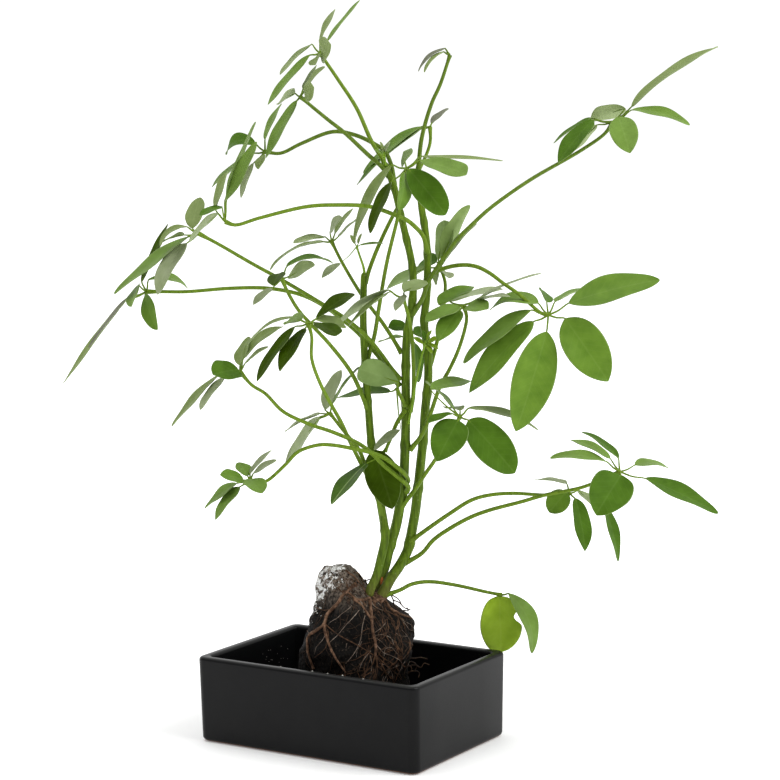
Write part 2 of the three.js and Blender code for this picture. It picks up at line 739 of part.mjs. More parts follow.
    hub: [21, 28, 9],
    stalk: [[17.5, 14, 8], [15, 2, 7], [13, -10, 5], [11, -20, 2]],
    blades: [
      [21, 30, 19, 36, 12, 4, 40],
      [22, 30, 25, 36, 6, 4, 60],
      [23, 29, 29, 31, 14, 5, 50],
      [22, 27, 25, 22, 18, 4, 40],
    ],
  },
};

// A blade and its own short stalk in one closed body. The section is level at the root and a shallow
// V beyond it, and the blade bows towards its upper face
function blade(hub, hubNear, face, row) {
  const [rootAcross, rootUp, tipAcross, tipUp, tipNear, width, turn, ownBow] = row;
  const root = place([rootAcross, rootUp, hubNear + (tipNear - hubNear) * BLADE_ROOT_DEPTH]);
  const tip = place([tipAcross, tipUp, tipNear]);
  const chord = tip.clone().sub(root);
  const length = chord.length();
  const along = chord.clone().normalize();
  const view = EYE.clone().sub(root).normalize();
  const open = view.clone().addScaledVector(along, -view.dot(along)).normalize();
  const aside = along.clone().cross(open);
  const faceSide = ACROSS.clone().multiplyScalar(face[0]).addScaledVector(UP, face[1]);
  if (aside.dot(faceSide) < 0) {
    aside.negate();
  }
  const angle = THREE.MathUtils.degToRad(turn);
  const normal = open.multiplyScalar(Math.cos(angle)).addScaledVector(aside, Math.sin(angle));
  const bow = ownBow ?? BLADE_BOW * length;
  const middle = root.clone().lerp(tip, 0.5).addScaledVector(normal, 2 * bow);
  const curve = new THREE.QuadraticBezierCurve3(root, middle, tip);

  const frameAt = (tangent) => {
    const upper = normal.clone().addScaledVector(tangent, -normal.dot(tangent)).normalize();
    return { upper, side: tangent.clone().cross(upper) };
  };
  const flatRing = (centre, tangent, half, thick) => {
    const { upper, side } = frameAt(tangent);
    const corner = (s, n) => centre.clone().addScaledVector(side, s).addScaledVector(upper, n);
    return [corner(-half, thick / 2), corner(half, thick / 2), corner(half, -thick / 2),
      corner(-half, -thick / 2)];
  };
  const foldRing = (centre, tangent, half) => {
    const { upper, side } = frameAt(tangent);
    const rise = 2 * half * BLADE_FOLD;
    const corner = (s, n) => centre.clone().addScaledVector(side, s).addScaledVector(upper, n);
    const thick = BLADE_THICK / 2;
    return [corner(-half, rise + thick), corner(0, thick), corner(half, rise + thick),
      corner(half, rise - thick), corner(0, -thick), corner(-half, rise - thick)];
  };

  const toRoot = root.clone().sub(hub).normalize();
  const stations = length > LONG_BLADE ? LONG_STATIONS : SHORT_STATIONS;
  const points = [
    ...flatRing(hub, toRoot, STALKLET_HALF, 2 * STALKLET_HALF),
    ...flatRing(root, curve.getTangentAt(0), BLADE_ROOT_WIDTH / 2, BLADE_THICK),
  ];
  const triangles = [[0, 2, 1], [0, 3, 2]];
  for (let i = 0; i < 4; i += 1) {
    const next = (i + 1) % 4;
    triangles.push([i, next, next + 4], [i, next + 4, i + 4]);
  }
  stations.forEach(([share, fullness]) => {
    points.push(...foldRing(curve.getPointAt(share), curve.getTangentAt(share), (width / 2) * fullness));
  });
  // From the level root [0..3] to the first folded ring [0..5]
  const root0 = 4;
  const fold0 = 8;
  triangles.push(
    [root0, fold0 + 1, fold0], [root0, root0 + 1, fold0 + 1], [root0 + 1, fold0 + 2, fold0 + 1],
    [root0 + 1, root0 + 2, fold0 + 3], [root0 + 1, fold0 + 3, fold0 + 2],
    [root0 + 2, fold0 + 4, fold0 + 3], [root0 + 2, root0 + 3, fold0 + 4], [root0 + 3, fold0 + 5, fold0 + 4],
    [root0 + 3, root0, fold0], [root0 + 3, fold0, fold0 + 5],
  );
  for (let k = 0; k + 1 < stations.length; k += 1) {
    const a0 = fold0 + 6 * k;
    for (let i = 0; i < 6; i += 1) {
      const next = (i + 1) % 6;
      triangles.push([a0 + i, a0 + next, a0 + 6 + next], [a0 + i, a0 + 6 + next, a0 + 6 + i]);
    }
  }
  // The blunt tip is a level ring again
  const last0 = fold0 + 6 * (stations.length - 1);
  const tip0 = points.length;
  points.push(...flatRing(tip, curve.getTangentAt(1), BLADE_TIP_WIDTH / 2, BLADE_THICK));
  triangles.push(
    [last0, last0 + 1, tip0], [last0 + 1, tip0 + 1, tip0], [last0 + 1, last0 + 2, tip0 + 1],
    [last0 + 2, last0 + 3, tip0 + 2], [last0 + 2, tip0 + 2, tip0 + 1],
    [last0 + 3, last0 + 4, tip0 + 2], [last0 + 4, tip0 + 3, tip0 + 2], [last0 + 4, last0 + 5, tip0 + 3],
    [last0 + 5, last0, tip0], [last0 + 5, tip0, tip0 + 3],
    [tip0, tip0 + 1, tip0 + 2], [tip0, tip0 + 2, tip0 + 3],
  );
  return solidOf(points, triangles);
}

function stemBar(name, grow) {
  const { radii: [foot, tip], path } = STEMS[name];
  const radiusAt = (share) => foot + (tip - foot) * share + grow;
  return bar(path.map(place), radiusAt, STEM_SIDES, STEM_STEP);
}

function crown(grow) {
  return lump(place(CROWN), CROWN_SIZE.map((half) => half + grow), new THREE.IcosahedronGeometry(1, 1));
}

function leaf({ stem, face, hub, stalk, blades }, scale = 1) {
  const centre = place(hub);
  const path = [centre, ...stalk.map(place)];
  const radiusAt = (share) => scale * (STALK_RADIUS + (STALK_BASE_RADIUS - STALK_RADIUS) * share);
  const seat = stem === 'crown' ? crown(GAP) : stemBar(stem, GAP);
  let solid = bar(path, radiusAt, STALK_SIDES, STALK_STEP);
  const hubSize = new THREE.Vector3(1, 1, 1).multiplyScalar(HUB_RADIUS * scale).toArray();
  solid = solid.add(lump(centre, hubSize, new THREE.OctahedronGeometry(1, 0)));
  for (const row of blades) {
    solid = solid.add(blade(centre, hub[2], face, row));
  }
  return largestPiece(solid.subtract(seat));
}

function roots() {
  let solid = crown(0);
  for (const [top, end, path] of ROOTS) {
    const points = path.map((spot) => onRock(spot, ROOT_SEAT + (top + end) / 2)).filter(Boolean);
    solid = solid.add(bar(points, (share) => top + (end - top) * share, ROOT_SIDES, ROOT_STEP));
  }
  return largestPiece(solid.subtract(lavaRock(GAP)));
}

// Every piece, by name

const plant = new THREE.Group();
plant.name = 'potted_umbrella_plant';

function addPiece(name, solid, finish, parent) {
  const { vertProperties, triVerts } = solid.getMesh();
  const geometry = new THREE.BufferGeometry();
  geometry.setAttribute('position', new THREE.BufferAttribute(new Float32Array(vertProperties), 3));
  geometry.setIndex(new THREE.BufferAttribute(new Uint32Array(triVerts), 1));
  geometry.computeVertexNormals();
  const mesh = new THREE.Mesh(geometry, new THREE.MeshStandardMaterial(FINISH[finish]));
  mesh.name = name;
  parent.add(mesh);
}

const holder = new THREE.Group();
holder.name = 'holder';
addPiece('tray', tray(), 'glaze', holder);
addPiece('lava_rock', lavaRock(0), 'lava', holder);
plant.add(holder);

const woody = new THREE.Group();
woody.name = 'roots_and_stems';
addPiece('roots', roots(), 'bark', woody);
for (const name of Object.keys(STEMS)) {
  addPiece(`stem_${name}`, largestPiece(stemBar(name, 0).subtract(crown(GAP))), 'stem', woody);
}
plant.add(woody);

const foliage = new THREE.Group();
foliage.name = 'foliage';
for (const [name, form] of Object.entries(LEAVES)) {
  const young = name.startsWith('shoot');
  addPiece(name, leaf(form, young ? 0.6 : 1), young ? 'shoot' : 'leaf', foliage);
}
plant.add(foliage);

export default plant;
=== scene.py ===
"""A young umbrella plant grown over a lump of lava in an open glazed tray.

Lengths in the tables are millimetres. Meshes are in metres, with the origin at the centre of the
tray's underside, +X along the tray's long side, +Y towards its back and +Z up.
"""

from __future__ import annotations

import logging
import math
import random
from collections.abc import Callable, Sequence
from dataclasses import dataclass
from enum import Enum
from functools import partial

import bpy
from mathutils import Matrix, Vector, noise


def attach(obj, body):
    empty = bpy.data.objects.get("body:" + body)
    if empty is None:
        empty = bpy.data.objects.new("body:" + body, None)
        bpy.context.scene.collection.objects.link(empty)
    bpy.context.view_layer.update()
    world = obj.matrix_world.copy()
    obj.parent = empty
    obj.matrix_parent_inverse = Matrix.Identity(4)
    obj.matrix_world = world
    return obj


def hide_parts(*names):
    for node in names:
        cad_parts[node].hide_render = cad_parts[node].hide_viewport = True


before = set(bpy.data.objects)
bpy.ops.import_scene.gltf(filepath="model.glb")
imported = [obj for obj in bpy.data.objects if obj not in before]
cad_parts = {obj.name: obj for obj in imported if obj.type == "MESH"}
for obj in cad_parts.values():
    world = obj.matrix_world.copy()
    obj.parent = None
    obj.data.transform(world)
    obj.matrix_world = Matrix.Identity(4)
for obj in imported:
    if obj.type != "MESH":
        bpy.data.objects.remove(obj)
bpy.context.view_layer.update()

LOG = logging.getLogger("umbrella_plant")

MM = 0.001
BODY = "root"
TRAY_HEIGHT = 51.0
TRAY_FLOOR = 6.0
Place = tuple[float, float, float]
Spot = tuple[float, float]
Piece = bpy.types.Object
Socket = bpy.types.NodeSocket
AddNode = Callable[..., Socket]


# Line of sight


@dataclass(frozen=True)
class Sight:
    """The line of sight that the plant was measured along.

    The plate is a clear sheet that stands square to the line of sight, and a place on the plant is
    millimetres right of and above its centre, with millimetres nearer to the eye than the tray.
    """

    turn: float = math.radians(32.6)
    dip: float = math.radians(7.4)
    lean: float = math.radians(0.8)
    reach: float = 1430.0
    plate_reach: float = 1470.0
    aim_across: float = 25.0
    aim_up: float = 208.0
    sensor: float = 36.0
    focal_share: float = 2450.0 / 780.0
    clip: Spot = (0.05, 50.0)

    def across(self) -> Vector:
        """Level direction to the right of the view."""
        return Vector((math.cos(self.turn), math.sin(self.turn), 0))

    def near(self) -> Vector:
        """Level direction towards the eye."""
        return Vector((math.sin(self.turn), -math.cos(self.turn), 0))

    def back(self) -> Vector:
        """Direction from the aim point to the eye."""
        return self.near() * math.cos(self.dip) + Vector((0, 0, math.sin(self.dip)))

    def plate_axes(self) -> tuple[Vector, Vector]:
        """Finds how the plate and the picture lie.

        Returns:
            Their right and up directions.
        """
        lift = self.back().cross(self.across())
        cos, sin = math.cos(self.lean), math.sin(self.lean)
        return self.across() * cos - lift * sin, self.across() * sin + lift * cos

    def eye(self) -> Vector:
        """The eye's place in millimetres."""
        aim = self.across() * self.aim_across + Vector((0, 0, self.aim_up))
        return aim + self.back() * self.reach

    def place(self, spot: Sequence[float]) -> Vector:
        """Turns a place on the plant into a point of the model.

        Args:
            spot: Millimetres across and up on the plate, and nearer to the eye.

        Returns:
            The point in millimetres.
        """
        across, up, near = spot
        right, top = self.plate_axes()
        ray = right * across + top * up - self.back() * self.plate_reach
        eye = self.eye()
        return eye + ray * ((near - eye.dot(self.near())) / ray.dot(self.near()))

    def camera(self) -> None:
        """Adds the camera at the eye, with the lens that the view was taken with."""
        data = bpy.data.cameras.new("view")
        data.sensor_width = self.sensor
        data.sensor_fit = "HORIZONTAL"
        data.lens = self.sensor * self.focal_share
        data.clip_start, data.clip_end = self.clip
        camera = bpy.data.objects.new("view", data)
        bpy.context.scene.collection.objects.link(camera)
        columns = (*self.plate_axes(), self.back(), self.eye() * MM)
        rows = [[column[row] for column in columns] for row in range(3)]
        camera.matrix_world = Matrix([*rows, [0, 0, 0, 1]])
        bpy.context.scene.camera = camera


SIGHT = Sight()


# Material building


def linear(code: str) -> tuple[float, float, float, float]:
    """Turns an sRGB hex colour into linear RGBA.

    Args:
        code: Six hex digits.

    Returns:
        Linear red, green, blue and an alpha of one.
    """
    parts = [int(code[i:i + 2], 16) / 255 for i in (0, 2, 4)]
    red, green, blue = [p / 12.92 if p <= 0.04045 else ((p + 0.055) / 1.055) ** 2.4 for p in parts]
    return red, green, blue, 1.0


def between(first: str, second: str, share: float) -> str:
    """A hex colour part of the way from one to another."""
    pairs = [(int(first[i:i + 2], 16), int(second[i:i + 2], 16)) for i in (0, 2, 4)]
    return "".join(f"{round(a + (b - a) * share):02x}" for a, b in pairs)


def add_node(tree: bpy.types.NodeTree, kind: str, out: int | str = 0, **given: object) -> Socket | None:
    """Adds one shader node, sets it up and links it.

    Args:
        tree: The node tree.
        kind: Blender's name of the kind of node, after the word ShaderNode.
        out: Number or name of the output that is wanted.
        **given: The node's own settings by their lower-case names, a ramp's stops as places and hex
            colours, and a number, colour or socket for each input, by its name with _ for a space,
            or by its number as i0, i1 and so on.

    Returns:
        The output socket, or None if the node has none.
    """
    node = tree.nodes.new(f"ShaderNode{kind}")
    for index, (position, code) in enumerate(given.pop("stops", ())):
        elements = node.color_ramp.elements
        element = elements[index] if index < 2 else elements.new(position)
        element.position = position
        element.color = linear(code)
    for key, value in given.items():
        if hasattr(node, key):
            setattr(node, key, value)
            continue
        socket = node.inputs[int(key[1:])] if key[1:].isdigit() else node.inputs[key.replace("_", " ")]
        if isinstance(value, Socket):
            tree.links.new(value, socket)
        else:
            socket.default_value = value
    return node.outputs[out] if node.outputs else None


# A Mix node of colours has its factor on input 0, the colours on 6 and 7 and the result on 2
COLOURS = {"out": 2, "data_type": "RGBA"}
SOFT = {"interpolation_type": "SMOOTHSTEP"}


def fresh_material(name: str) -> bpy.types.Material:
    """Makes a material with an empty node tree.

    Args:
        name: Its name.

    Returns:
        The material.
    """
    material = bpy.data.materials.new(name)
    material.use_nodes = True
    material.node_tree.nodes.clear()
    return material


@dataclass(frozen=True)
class Grain:
    """Soft noise: the width of one blotch in millimetres, with the number and weight of the finer
    octaves over it."""

    size_mm: float
    detail: float = 3.0
    rough: float = 0.55

    def over(self, place: Socket) -> dict[str, object]:
        """The inputs of a noise node that reads these coordinates."""
        scale = 1 / (self.size_mm * MM)
        return {"Vector": place, "Scale": scale, "Detail": self.detail, "Roughness": self.rough}


@dataclass(frozen=True)
class Finish:
    """A surface finish: its gloss and relief, with a pattern that each kind draws in its own way."""

    name: str
    roughness: float = 0.5
    specular: float = 0.5
    bump_depth: float = 0.2
    bump_mm: float = 0.4

    def pattern(self, add: AddNode) -> tuple[Socket, Socket]:
        """Draws the colour and the height. Each kind has its own way."""
        raise NotImplementedError

    def material(self) -> bpy.types.Material:
        """Makes the material, or finds it if it was made before.

        Returns:
            The material.
        """
        known = bpy.data.materials.get(self.name)
        if known:
            return known
        material = fresh_material(self.name)
        add = partial(add_node, material.node_tree)
        colour, height = self.pattern(add)
        relief = add("Bump", Height=height, Strength=self.bump_depth, Distance=self.bump_mm * MM)
        shader = add("BsdfPrincipled", Base_Color=colour, Roughness=self.roughness,
                     Specular_IOR_Level=self.specular, Normal=relief)
        add("OutputMaterial", Surface=shader)
        return material


class Tone(Enum):
    """How a leaflet's skin looks, with the light that falls on it painted in: DARK and DEEP paint the shade
    on leaflets that hang in shadow, SAGE and GREY are greyed partly by the leaf's bloom and partly by a
    painted sheen of blades seen edge-on, and the others are in full green. The first colour is the darker
    end of its blotches, the second the lighter one."""

    DARK = ("2c3d02", "3a5204")
    DEEP = ("3d5c12", "50731f")
    FRESH = ("50711c", "68892c")
    MID = ("5c782a", "72923d")
    SAGE = ("6a7d3e", "809256")
    GREY = ("7d8b5f", "99a380")
    STRIPED = ("3a5710", "4c6e1e")
    DUSK = ("565843", "737761")
    YOUNG = ("7a9a14", "9ab82e")


DARK, DEEP, FRESH, MID, SAGE, GREY, STRIPED, DUSK, YOUNG = Tone
LEAFLET_MAP = "leaflet"
LEAFLET_MAP_MM = 100.0


@dataclass(frozen=True)
class LeafSkin(Finish):
    """Living leaf: a waxy upper skin over green tissue, with a pale midrib and fine side veins.

    The wax gives a soft sheen, and the veins show as slightly paler, sunken lines.
    """

    specular: float = 0.13
    bump_depth: float = 0.04
    tone: Tone = Tone.MID
    under: bool = False
    blotch: Grain = Grain(9.0)
    rib_mm: Spot = (0.25, 0.7)
    vein_mm: float = 4.2
    vein_slant: float = 0.9
    vein_tint: float = 0.035
    vein_relief: float = 0.5

    def pattern(self, add: AddNode) -> tuple[Socket, Socket]:
        """Draws blotchy green, with the veins and the midrib along the leaflet's own map.

        Args:
            add: Adds a node to the material.

        Returns:
            The colour and the height.
        """
        shade, lit = self.tone.value
        if self.under:
            shade, lit = between(shade, "8b9a70", 0.45), between(lit, "a3b18a", 0.5)
        cloud = add("TexNoise", **self.blotch.over(add("TexCoord", "Object")))
        colour = add("ValToRGB", Fac=cloud, stops=((0.2, shade), (0.8, lit)))
        spot = add("UVMap", uv_map=LEAFLET_MAP)
        along = add("SeparateXYZ", "Y", Vector=spot)
        offset = add("Math", operation="SUBTRACT", i0=add("SeparateXYZ", "X", Vector=spot), i1=0.5)
        aside = add("Math", operation="ABSOLUTE", i0=offset)
        # The midrib is clear over half a millimetre, and fades out over about as much on each side
        clear, gone = [width / LEAFLET_MAP_MM for width in self.rib_mm]
        rib = add("MapRange", **SOFT, Value=aside, From_Min=clear, From_Max=gone, To_Min=1.0, To_Max=0.0)
        slant = add("Math", operation="MULTIPLY_ADD", i0=aside, i1=-self.vein_slant, i2=along)
        turns = 2 * math.pi * LEAFLET_MAP_MM / self.vein_mm
        wave = add("Math", operation="SINE", i0=add("Math", operation="MULTIPLY", i0=slant, i1=turns))
        vein = add("MapRange", **SOFT, Value=wave, From_Min=0.82, From_Max=1.0)
        paler = linear(between(lit, "c3d29a", 0.55))
        rib_tint = 0.75 if self.tone is Tone.STRIPED else 0.06
        for line, tint in ((vein, self.vein_tint), (rib, rib_tint)):
            faint = add("Math", operation="MULTIPLY", i0=line, i1=tint)
            colour = add("Mix", **COLOURS, i0=faint, i6=colour, i7=paler)
        relief = add("Math", operation="MULTIPLY_ADD", i0=vein, i1=self.vein_relief, i2=rib)
        side = 1.0 if self.under else -1.0
        return colour, add("Math", operation="MULTIPLY", i0=relief, i1=side)


def leaf_skins(tone: Tone) -> tuple[LeafSkin, LeafSkin]:
    """Names the skins of a leaflet. The darkest ones hang in shade, so their wax shines less.

    Args:
        tone: How the leaflet looks.

    Returns:
        The upper and the under skin.
    """
    name = f"leaf_{tone.name.lower()}"
    sheen = 0.04 if tone in (DARK, DEEP) else LeafSkin.specular
    return (LeafSkin(f"{name}_upper", tone=tone, specular=sheen),
            LeafSkin(f"{name}_under", tone=tone, under=True, roughness=0.6))


@dataclass(frozen=True)
class StemSkin(Finish):
    """Smooth green bark of a young stem: streaked along its length, with small pale pores."""

    specular: float = 0.14
    shade: str = "2f4206"
    lit: str = "6f8d1e"
    wood: str = "6a5c34"
    pore: str = "a9b978"
    streak: Grain = Grain(10 / 7, 4.0, 0.6)
    stretch: float = 0.12
    foot: float = 0.0
    foot_mm: Spot = (86.0, 104.0)
    pores: float = 0.2
    pore_gap_mm: float = 3.03

    def pattern(self, add: AddNode) -> tuple[Socket, Socket]:
        """Draws streaks from noise stretched along the stem, a woody brown foot, and pale pores.

        Args:
            add: Adds a node to the material.

        Returns:
            The colour and the height.
        """
        place = add("TexCoord", "Object")
        drawn_out = add("Mapping", Vector=place, Scale=(1, 1, self.stretch))
        streak = add("TexNoise", **self.streak.over(drawn_out))
        colour = add("ValToRGB", Fac=streak, stops=((0.22, self.shade), (0.78, self.lit)))
        low, high = self.foot_mm
        woody = add("MapRange", Value=add("SeparateXYZ", "Z", Vector=place), From_Min=low * MM,
                    From_Max=high * MM, To_Min=self.foot, To_Max=0.0)
        colour = add("Mix", **COLOURS, i0=woody, i6=colour, i7=linear(self.wood))
        dots = add("TexVoronoi", Vector=place, Scale=1 / (self.pore_gap_mm * MM))
        pore = add("MapRange", Value=dots, From_Min=0.1, From_Max=0.2, To_Min=self.pores, To_Max=0.0)
        return add("Mix", **COLOURS, i0=pore, i6=colour, i7=linear(self.pore)), streak


@dataclass(frozen=True)
class RootBark(Finish):
    """Young root bark: thin and brown, creased along the root, with greyer worn ridges."""

    roughness: float = 0.7
    specular: float = 0.2
    bump_depth: float = 0.6
    shade: str = "2e1a0e"
    lit: str = "93715a"
    worn: str = "54402f"
    crease: Grain = Grain(1.3, 5.0, 0.65)
    blotch: Grain = Grain(2.6, 4.0, 0.6)
    crease_tint: float = 0.22

    def pattern(self, add: AddNode) -> tuple[Socket, Socket]:
        """Draws creases and blotches a few millimetres long.

        Args:
            add: Adds a node to the material.

        Returns:
            The colour and the height.
        """
        place = add("TexCoord", "Object")
        crease = add("TexNoise", **self.crease.over(place))
        stops = ((0.34, self.shade), (0.5, between(self.shade, self.lit, 0.5)), (0.66, self.lit))
        colour = add("ValToRGB", Fac=add("TexNoise", **self.blotch.over(place)), stops=stops)
        tint = add("Math", operation="MULTIPLY", i0=crease, i1=self.crease_tint)
        return add("Mix", **COLOURS, i0=tint, i6=colour, i7=linear(self.worn)), crease


@dataclass(frozen=True)
class BlackGlaze(Finish):
    """Stoneware under a semi-matt black glaze, with the bare brown clay showing at the foot.

    The glaze gives a soft wide highlight, and a paler band along the top of the rim is a painted highlight.
    """

    roughness: float = 0.32
    specular: float = 0.13
    bump_depth: float = 0.05
    # thin is the colour of the painted highlight along the top of the rim
    thin: str = "3c3c3b"
    clay: str = "5e3a20"
    cloud: Grain = Grain(14.0)
    edge: Grain = Grain(10.0)
    peel: Grain = Grain(1.2, 2.0)
    edge_wobble_mm: float = 0.8
    foot_mm: Spot = (1.2, 1.6)
    rim_highlight_mm: float = 0.9
    rim_highlight_tint: float = 0.35

    def pattern(self, add: AddNode) -> tuple[Socket, Socket]:
        """Draws near-black with a faint cloud, a painted highlight as a paler band at the rim, and brown
        below the foot line.

        Args:
            add: Adds a node to the material.

        Returns:
            The colour and the height.
        """
        place = add("TexCoord", "Object")
        height = add("SeparateXYZ", "Z", Vector=place)
        cloud = add("TexNoise", **self.cloud.over(place))
        colour = add("ValToRGB", Fac=cloud, stops=((0.3, "0b0b0c"), (0.7, "0f0f10")))
        # Painted highlight: the last part of the height up to the rim is drawn paler
        rim = add("MapRange", Value=height, From_Min=(TRAY_HEIGHT - self.rim_highlight_mm) * MM,
                  From_Max=TRAY_HEIGHT * MM, To_Max=self.rim_highlight_tint)
        colour = add("Mix", **COLOURS, i0=rim, i6=colour, i7=linear(self.thin))
        wobble = add("Math", operation="MULTIPLY_ADD", i0=add("TexNoise", **self.edge.over(place)),
                     i1=self.edge_wobble_mm * MM, i2=height)
        low, high = self.foot_mm
        bare = add("MapRange", Value=wobble, From_Min=low * MM, From_Max=high * MM, To_Min=1.0, To_Max=0.0)
        colour = add("Mix", **COLOURS, i0=bare, i6=colour, i7=linear(self.clay))
        return colour, add("TexNoise", **self.peel.over(place))


@dataclass(frozen=True)
class Lava(Finish):
    """Black lava: frozen froth, so it is full of pits, dull, with pale mineral crust in places."""

    roughness: float = 0.7
    specular: float = 0.12
    bump_depth: float = 1.0
    bump_mm: float = 1.5
    # hollow is the near-black that paints shade in the low places of the rock
    hollow: str = "0a0908"
    pit_mm: float = 2.63
    pit_relief: float = 0.8
    rough: Grain = Grain(2.2, 6.0, 0.7)
    fine: Grain = Grain(1.2, 5.0, 0.7)
    dust: Grain = Grain(1.6, 4.0, 0.6)
    dust_and_highlight_mm: Spot = (80.0, 94.0)
    crust: Grain = Grain(3.4, 5.0, 0.72)
    crust_slope: float = 0.75
    crust_edge_mm: Spot = (-82.2, -74.2)
    crust_lift: float = 0.23
    chalk: Grain = Grain(1.1, 2.0)

    def pattern(self, add: AddNode) -> tuple[Socket, Socket]:
        """Draws pitted black with pale specks as painted highlights, painted shade where the relief is low,
        dried root dust on the shoulder with a painted highlight on its lit top, and pale crust up the left
        of it.

        Args:
            add: Adds a node to the material.

        Returns:
            The colour and the height.
        """
        place = add("TexCoord", "Object")
        pits = add("TexVoronoi", feature="SMOOTH_F1", Vector=place, Scale=1 / (self.pit_mm * MM))
        rough, fine, dust, specks, chalk = [add("TexNoise", **grain.over(place)) for grain in (
            self.rough, self.fine, self.dust, self.crust, self.chalk)]
        # The paler stops paint highlights on the small bumps of the rock
        stone_with_painted_glints = ((0.44, "060505"), (0.54, "17130f"), (0.62, "3a312a"), (0.72, "83766a"))
        colour = add("ValToRGB", Fac=fine, stops=stone_with_painted_glints)
        # Painted shade: where the rough relief is low the rock is darkened towards the hollow colour
        worn = add("MapRange", Value=rough, From_Min=0.45, From_Max=0.62, To_Min=0.75, To_Max=0.0)
        colour = add("Mix", **COLOURS, i0=worn, i6=colour, i7=linear(self.hollow))
        # Dust lies on the shoulder, and the band also paints a highlight where the top of the rock faces the
        # light
        low, high = self.dust_and_highlight_mm
        top = add("MapRange", Value=add("SeparateXYZ", "Z", Vector=place), From_Min=low * MM,
                  From_Max=high * MM, To_Max=0.75)
        dust_and_top_highlight = add("ValToRGB", Fac=dust, stops=((0.38, "1c1511"), (0.6, "9a8b7d")))
        colour = add("Mix", **COLOURS, i0=top, i6=colour, i7=dust_and_top_highlight)
        # Crust lies up and left of a slanting line: its edge moves left as the rock goes down
        slant = SIGHT.across() - Vector((0, 0, self.crust_slope))
        aside = add("VectorMath", "Value", operation="DOT_PRODUCT", i0=place, i1=tuple(slant))
        left, right = self.crust_edge_mm
        mask = add("MapRange", Value=aside, From_Min=left * MM, From_Max=right * MM, To_Min=1.0, To_Max=0.0)
        level = add("Math", operation="MULTIPLY_ADD", i0=mask, i1=self.crust_lift, i2=specks)
        crust = add("MapRange", Value=level, From_Min=0.715, From_Max=0.735)
        pale = add("ValToRGB", Fac=chalk, stops=((0.3, "b8b4ad"), (0.58, "ffffff")))
        colour = add("Mix", **COLOURS, i0=crust, i6=colour, i7=pale)
        return colour, add("Math", operation="MULTIPLY_ADD", i0=pits, i1=self.pit_relief, i2=rough)


@dataclass(frozen=True)
class Grit(Finish):
    """Pale mineral grit and crumbs."""

    roughness: float = 0.9
    shade: str = "8d8a84"
    lit: str = "dedbd4"
    blotch: Grain = Grain(0.8, 2.0)

    def pattern(self, add: AddNode) -> tuple[Socket, Socket]:
        """Draws blotches about as wide as a crumb."""
        blotch = add("TexNoise", **self.blotch.over(add("TexCoord", "Object")))
        return add("ValToRGB", Fac=blotch, stops=((0.35, self.shade), (0.65, self.lit))), blotch


GLAZE = BlackGlaze("semi_matt_black_glaze")
LAVA = Lava("pitted_black_lava")
BARK = RootBark("young_root_bark")
FIBRE = RootBark("brown_root_fibre", shade="241810", lit="74533c")
HAIR = RootBark("pale_root_hair", shade="5e4f44", lit="b0a294")
WISP = RootBark("dark_root_wisp", shade="1e1510", lit="544030")
STEM = StemSkin("green_stem_skin", foot=0.6)
STALK = StemSkin("green_leaf_stalk", shade="526c12", lit="78942a", pores=0.0)
OLIVE = StemSkin("olive_leaf_stalk", shade="445a12", lit="688226", pores=0.0)
SPROUT = StemSkin("young_sprout_stalk", shade="63861a", lit="8aab34", pores=0.0)
CRUMB = Grit("pale_mineral_grit")
SCAR = Grit("orange_bark_scar", shade="bd5e28", lit="e08a4a")


# Shared shaping


def deselect() -> None:
    """Clears the selection, because an operator acts on all that is selected."""
    for thing in bpy.context.selected_objects:
        thing.select_set(False)


def pick(*things: Piece) -> None:
    """Selects only these objects and makes the first one active.

    Args:
        *things: The objects.
    """
    deselect()
    for thing in things:
        thing.select_set(True)
    bpy.context.view_layer.objects.active = things[0]


def edit_all(thing: Piece, change: Callable[[], object]) -> None:
    """Runs one edit-mode operator on a whole mesh.

    Args:
        thing: The mesh object.
        change: The operator.
    """
    pick(thing)
    bpy.ops.object.mode_set(mode="EDIT")
    bpy.ops.mesh.select_all(action="SELECT")
    change()
    bpy.ops.object.mode_set(mode="OBJECT")


def ball(add: Callable[..., object], name: str, finish: Finish, **size: object) -> Piece:
    """Adds a ball at the origin with its finish, ready to be shaped.

    Args:
        add: Blender's operator for that kind of ball.
        name: Name of the object.
        finish: Its finish.
        **size: The operator's settings.

    Returns:
        The ball.
    """
    deselect()
    add(radius=1, **size)
    thing = bpy.context.active_object
    thing.name = thing.data.name = name
    thing.data.materials.append(finish.material())
    return thing


def apply_modifier(thing: Piece, kind: str, **settings: object) -> None:
    """Adds a modifier to an object, sets it up and applies it.

    Args:
        thing: The object.
        kind: Blender's name of the kind of modifier.
        **settings: Its settings.
    """
    modifier = thing.modifiers.new(kind.lower(), kind)
    for key, value in settings.items():
        setattr(modifier, key, value)
    pick(thing)
    bpy.ops.object.modifier_apply(modifier=modifier.name)


def joined(name: str, things: Sequence[Piece]) -> Piece:
    """Joins objects into the first one and names it.

    Args:
        name: The new name.
        things: The objects.

    Returns:
        The joined object.
    """
    pick(*things)
    if len(things) > 1:
        bpy.ops.object.join()
    result = bpy.context.view_layer.objects.active
    result.name = result.data.name = name
    return result


def smooth(thing: Piece, angle: float | None = None) -> None:
    """Shades an object smooth.

    Args:
        thing: The object.
        angle: Degrees past which an edge stays sharp, if any do.
    """
    pick(thing)
    if angle is None:
        bpy.ops.object.shade_smooth()
    else:
        bpy.ops.object.shade_smooth_by_angle(angle=math.radians(angle))


def finished(thing: Piece, slot: str, *nodes: str) -> Piece:
    """Ties a finished piece to the frame.

    Args:
        thing: The piece.
        slot: Not used.
        *nodes: The solids that it stands for.

    Returns:
        The same piece.
    """
    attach(thing, BODY)
    if nodes:
        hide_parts(*nodes)
    return thing


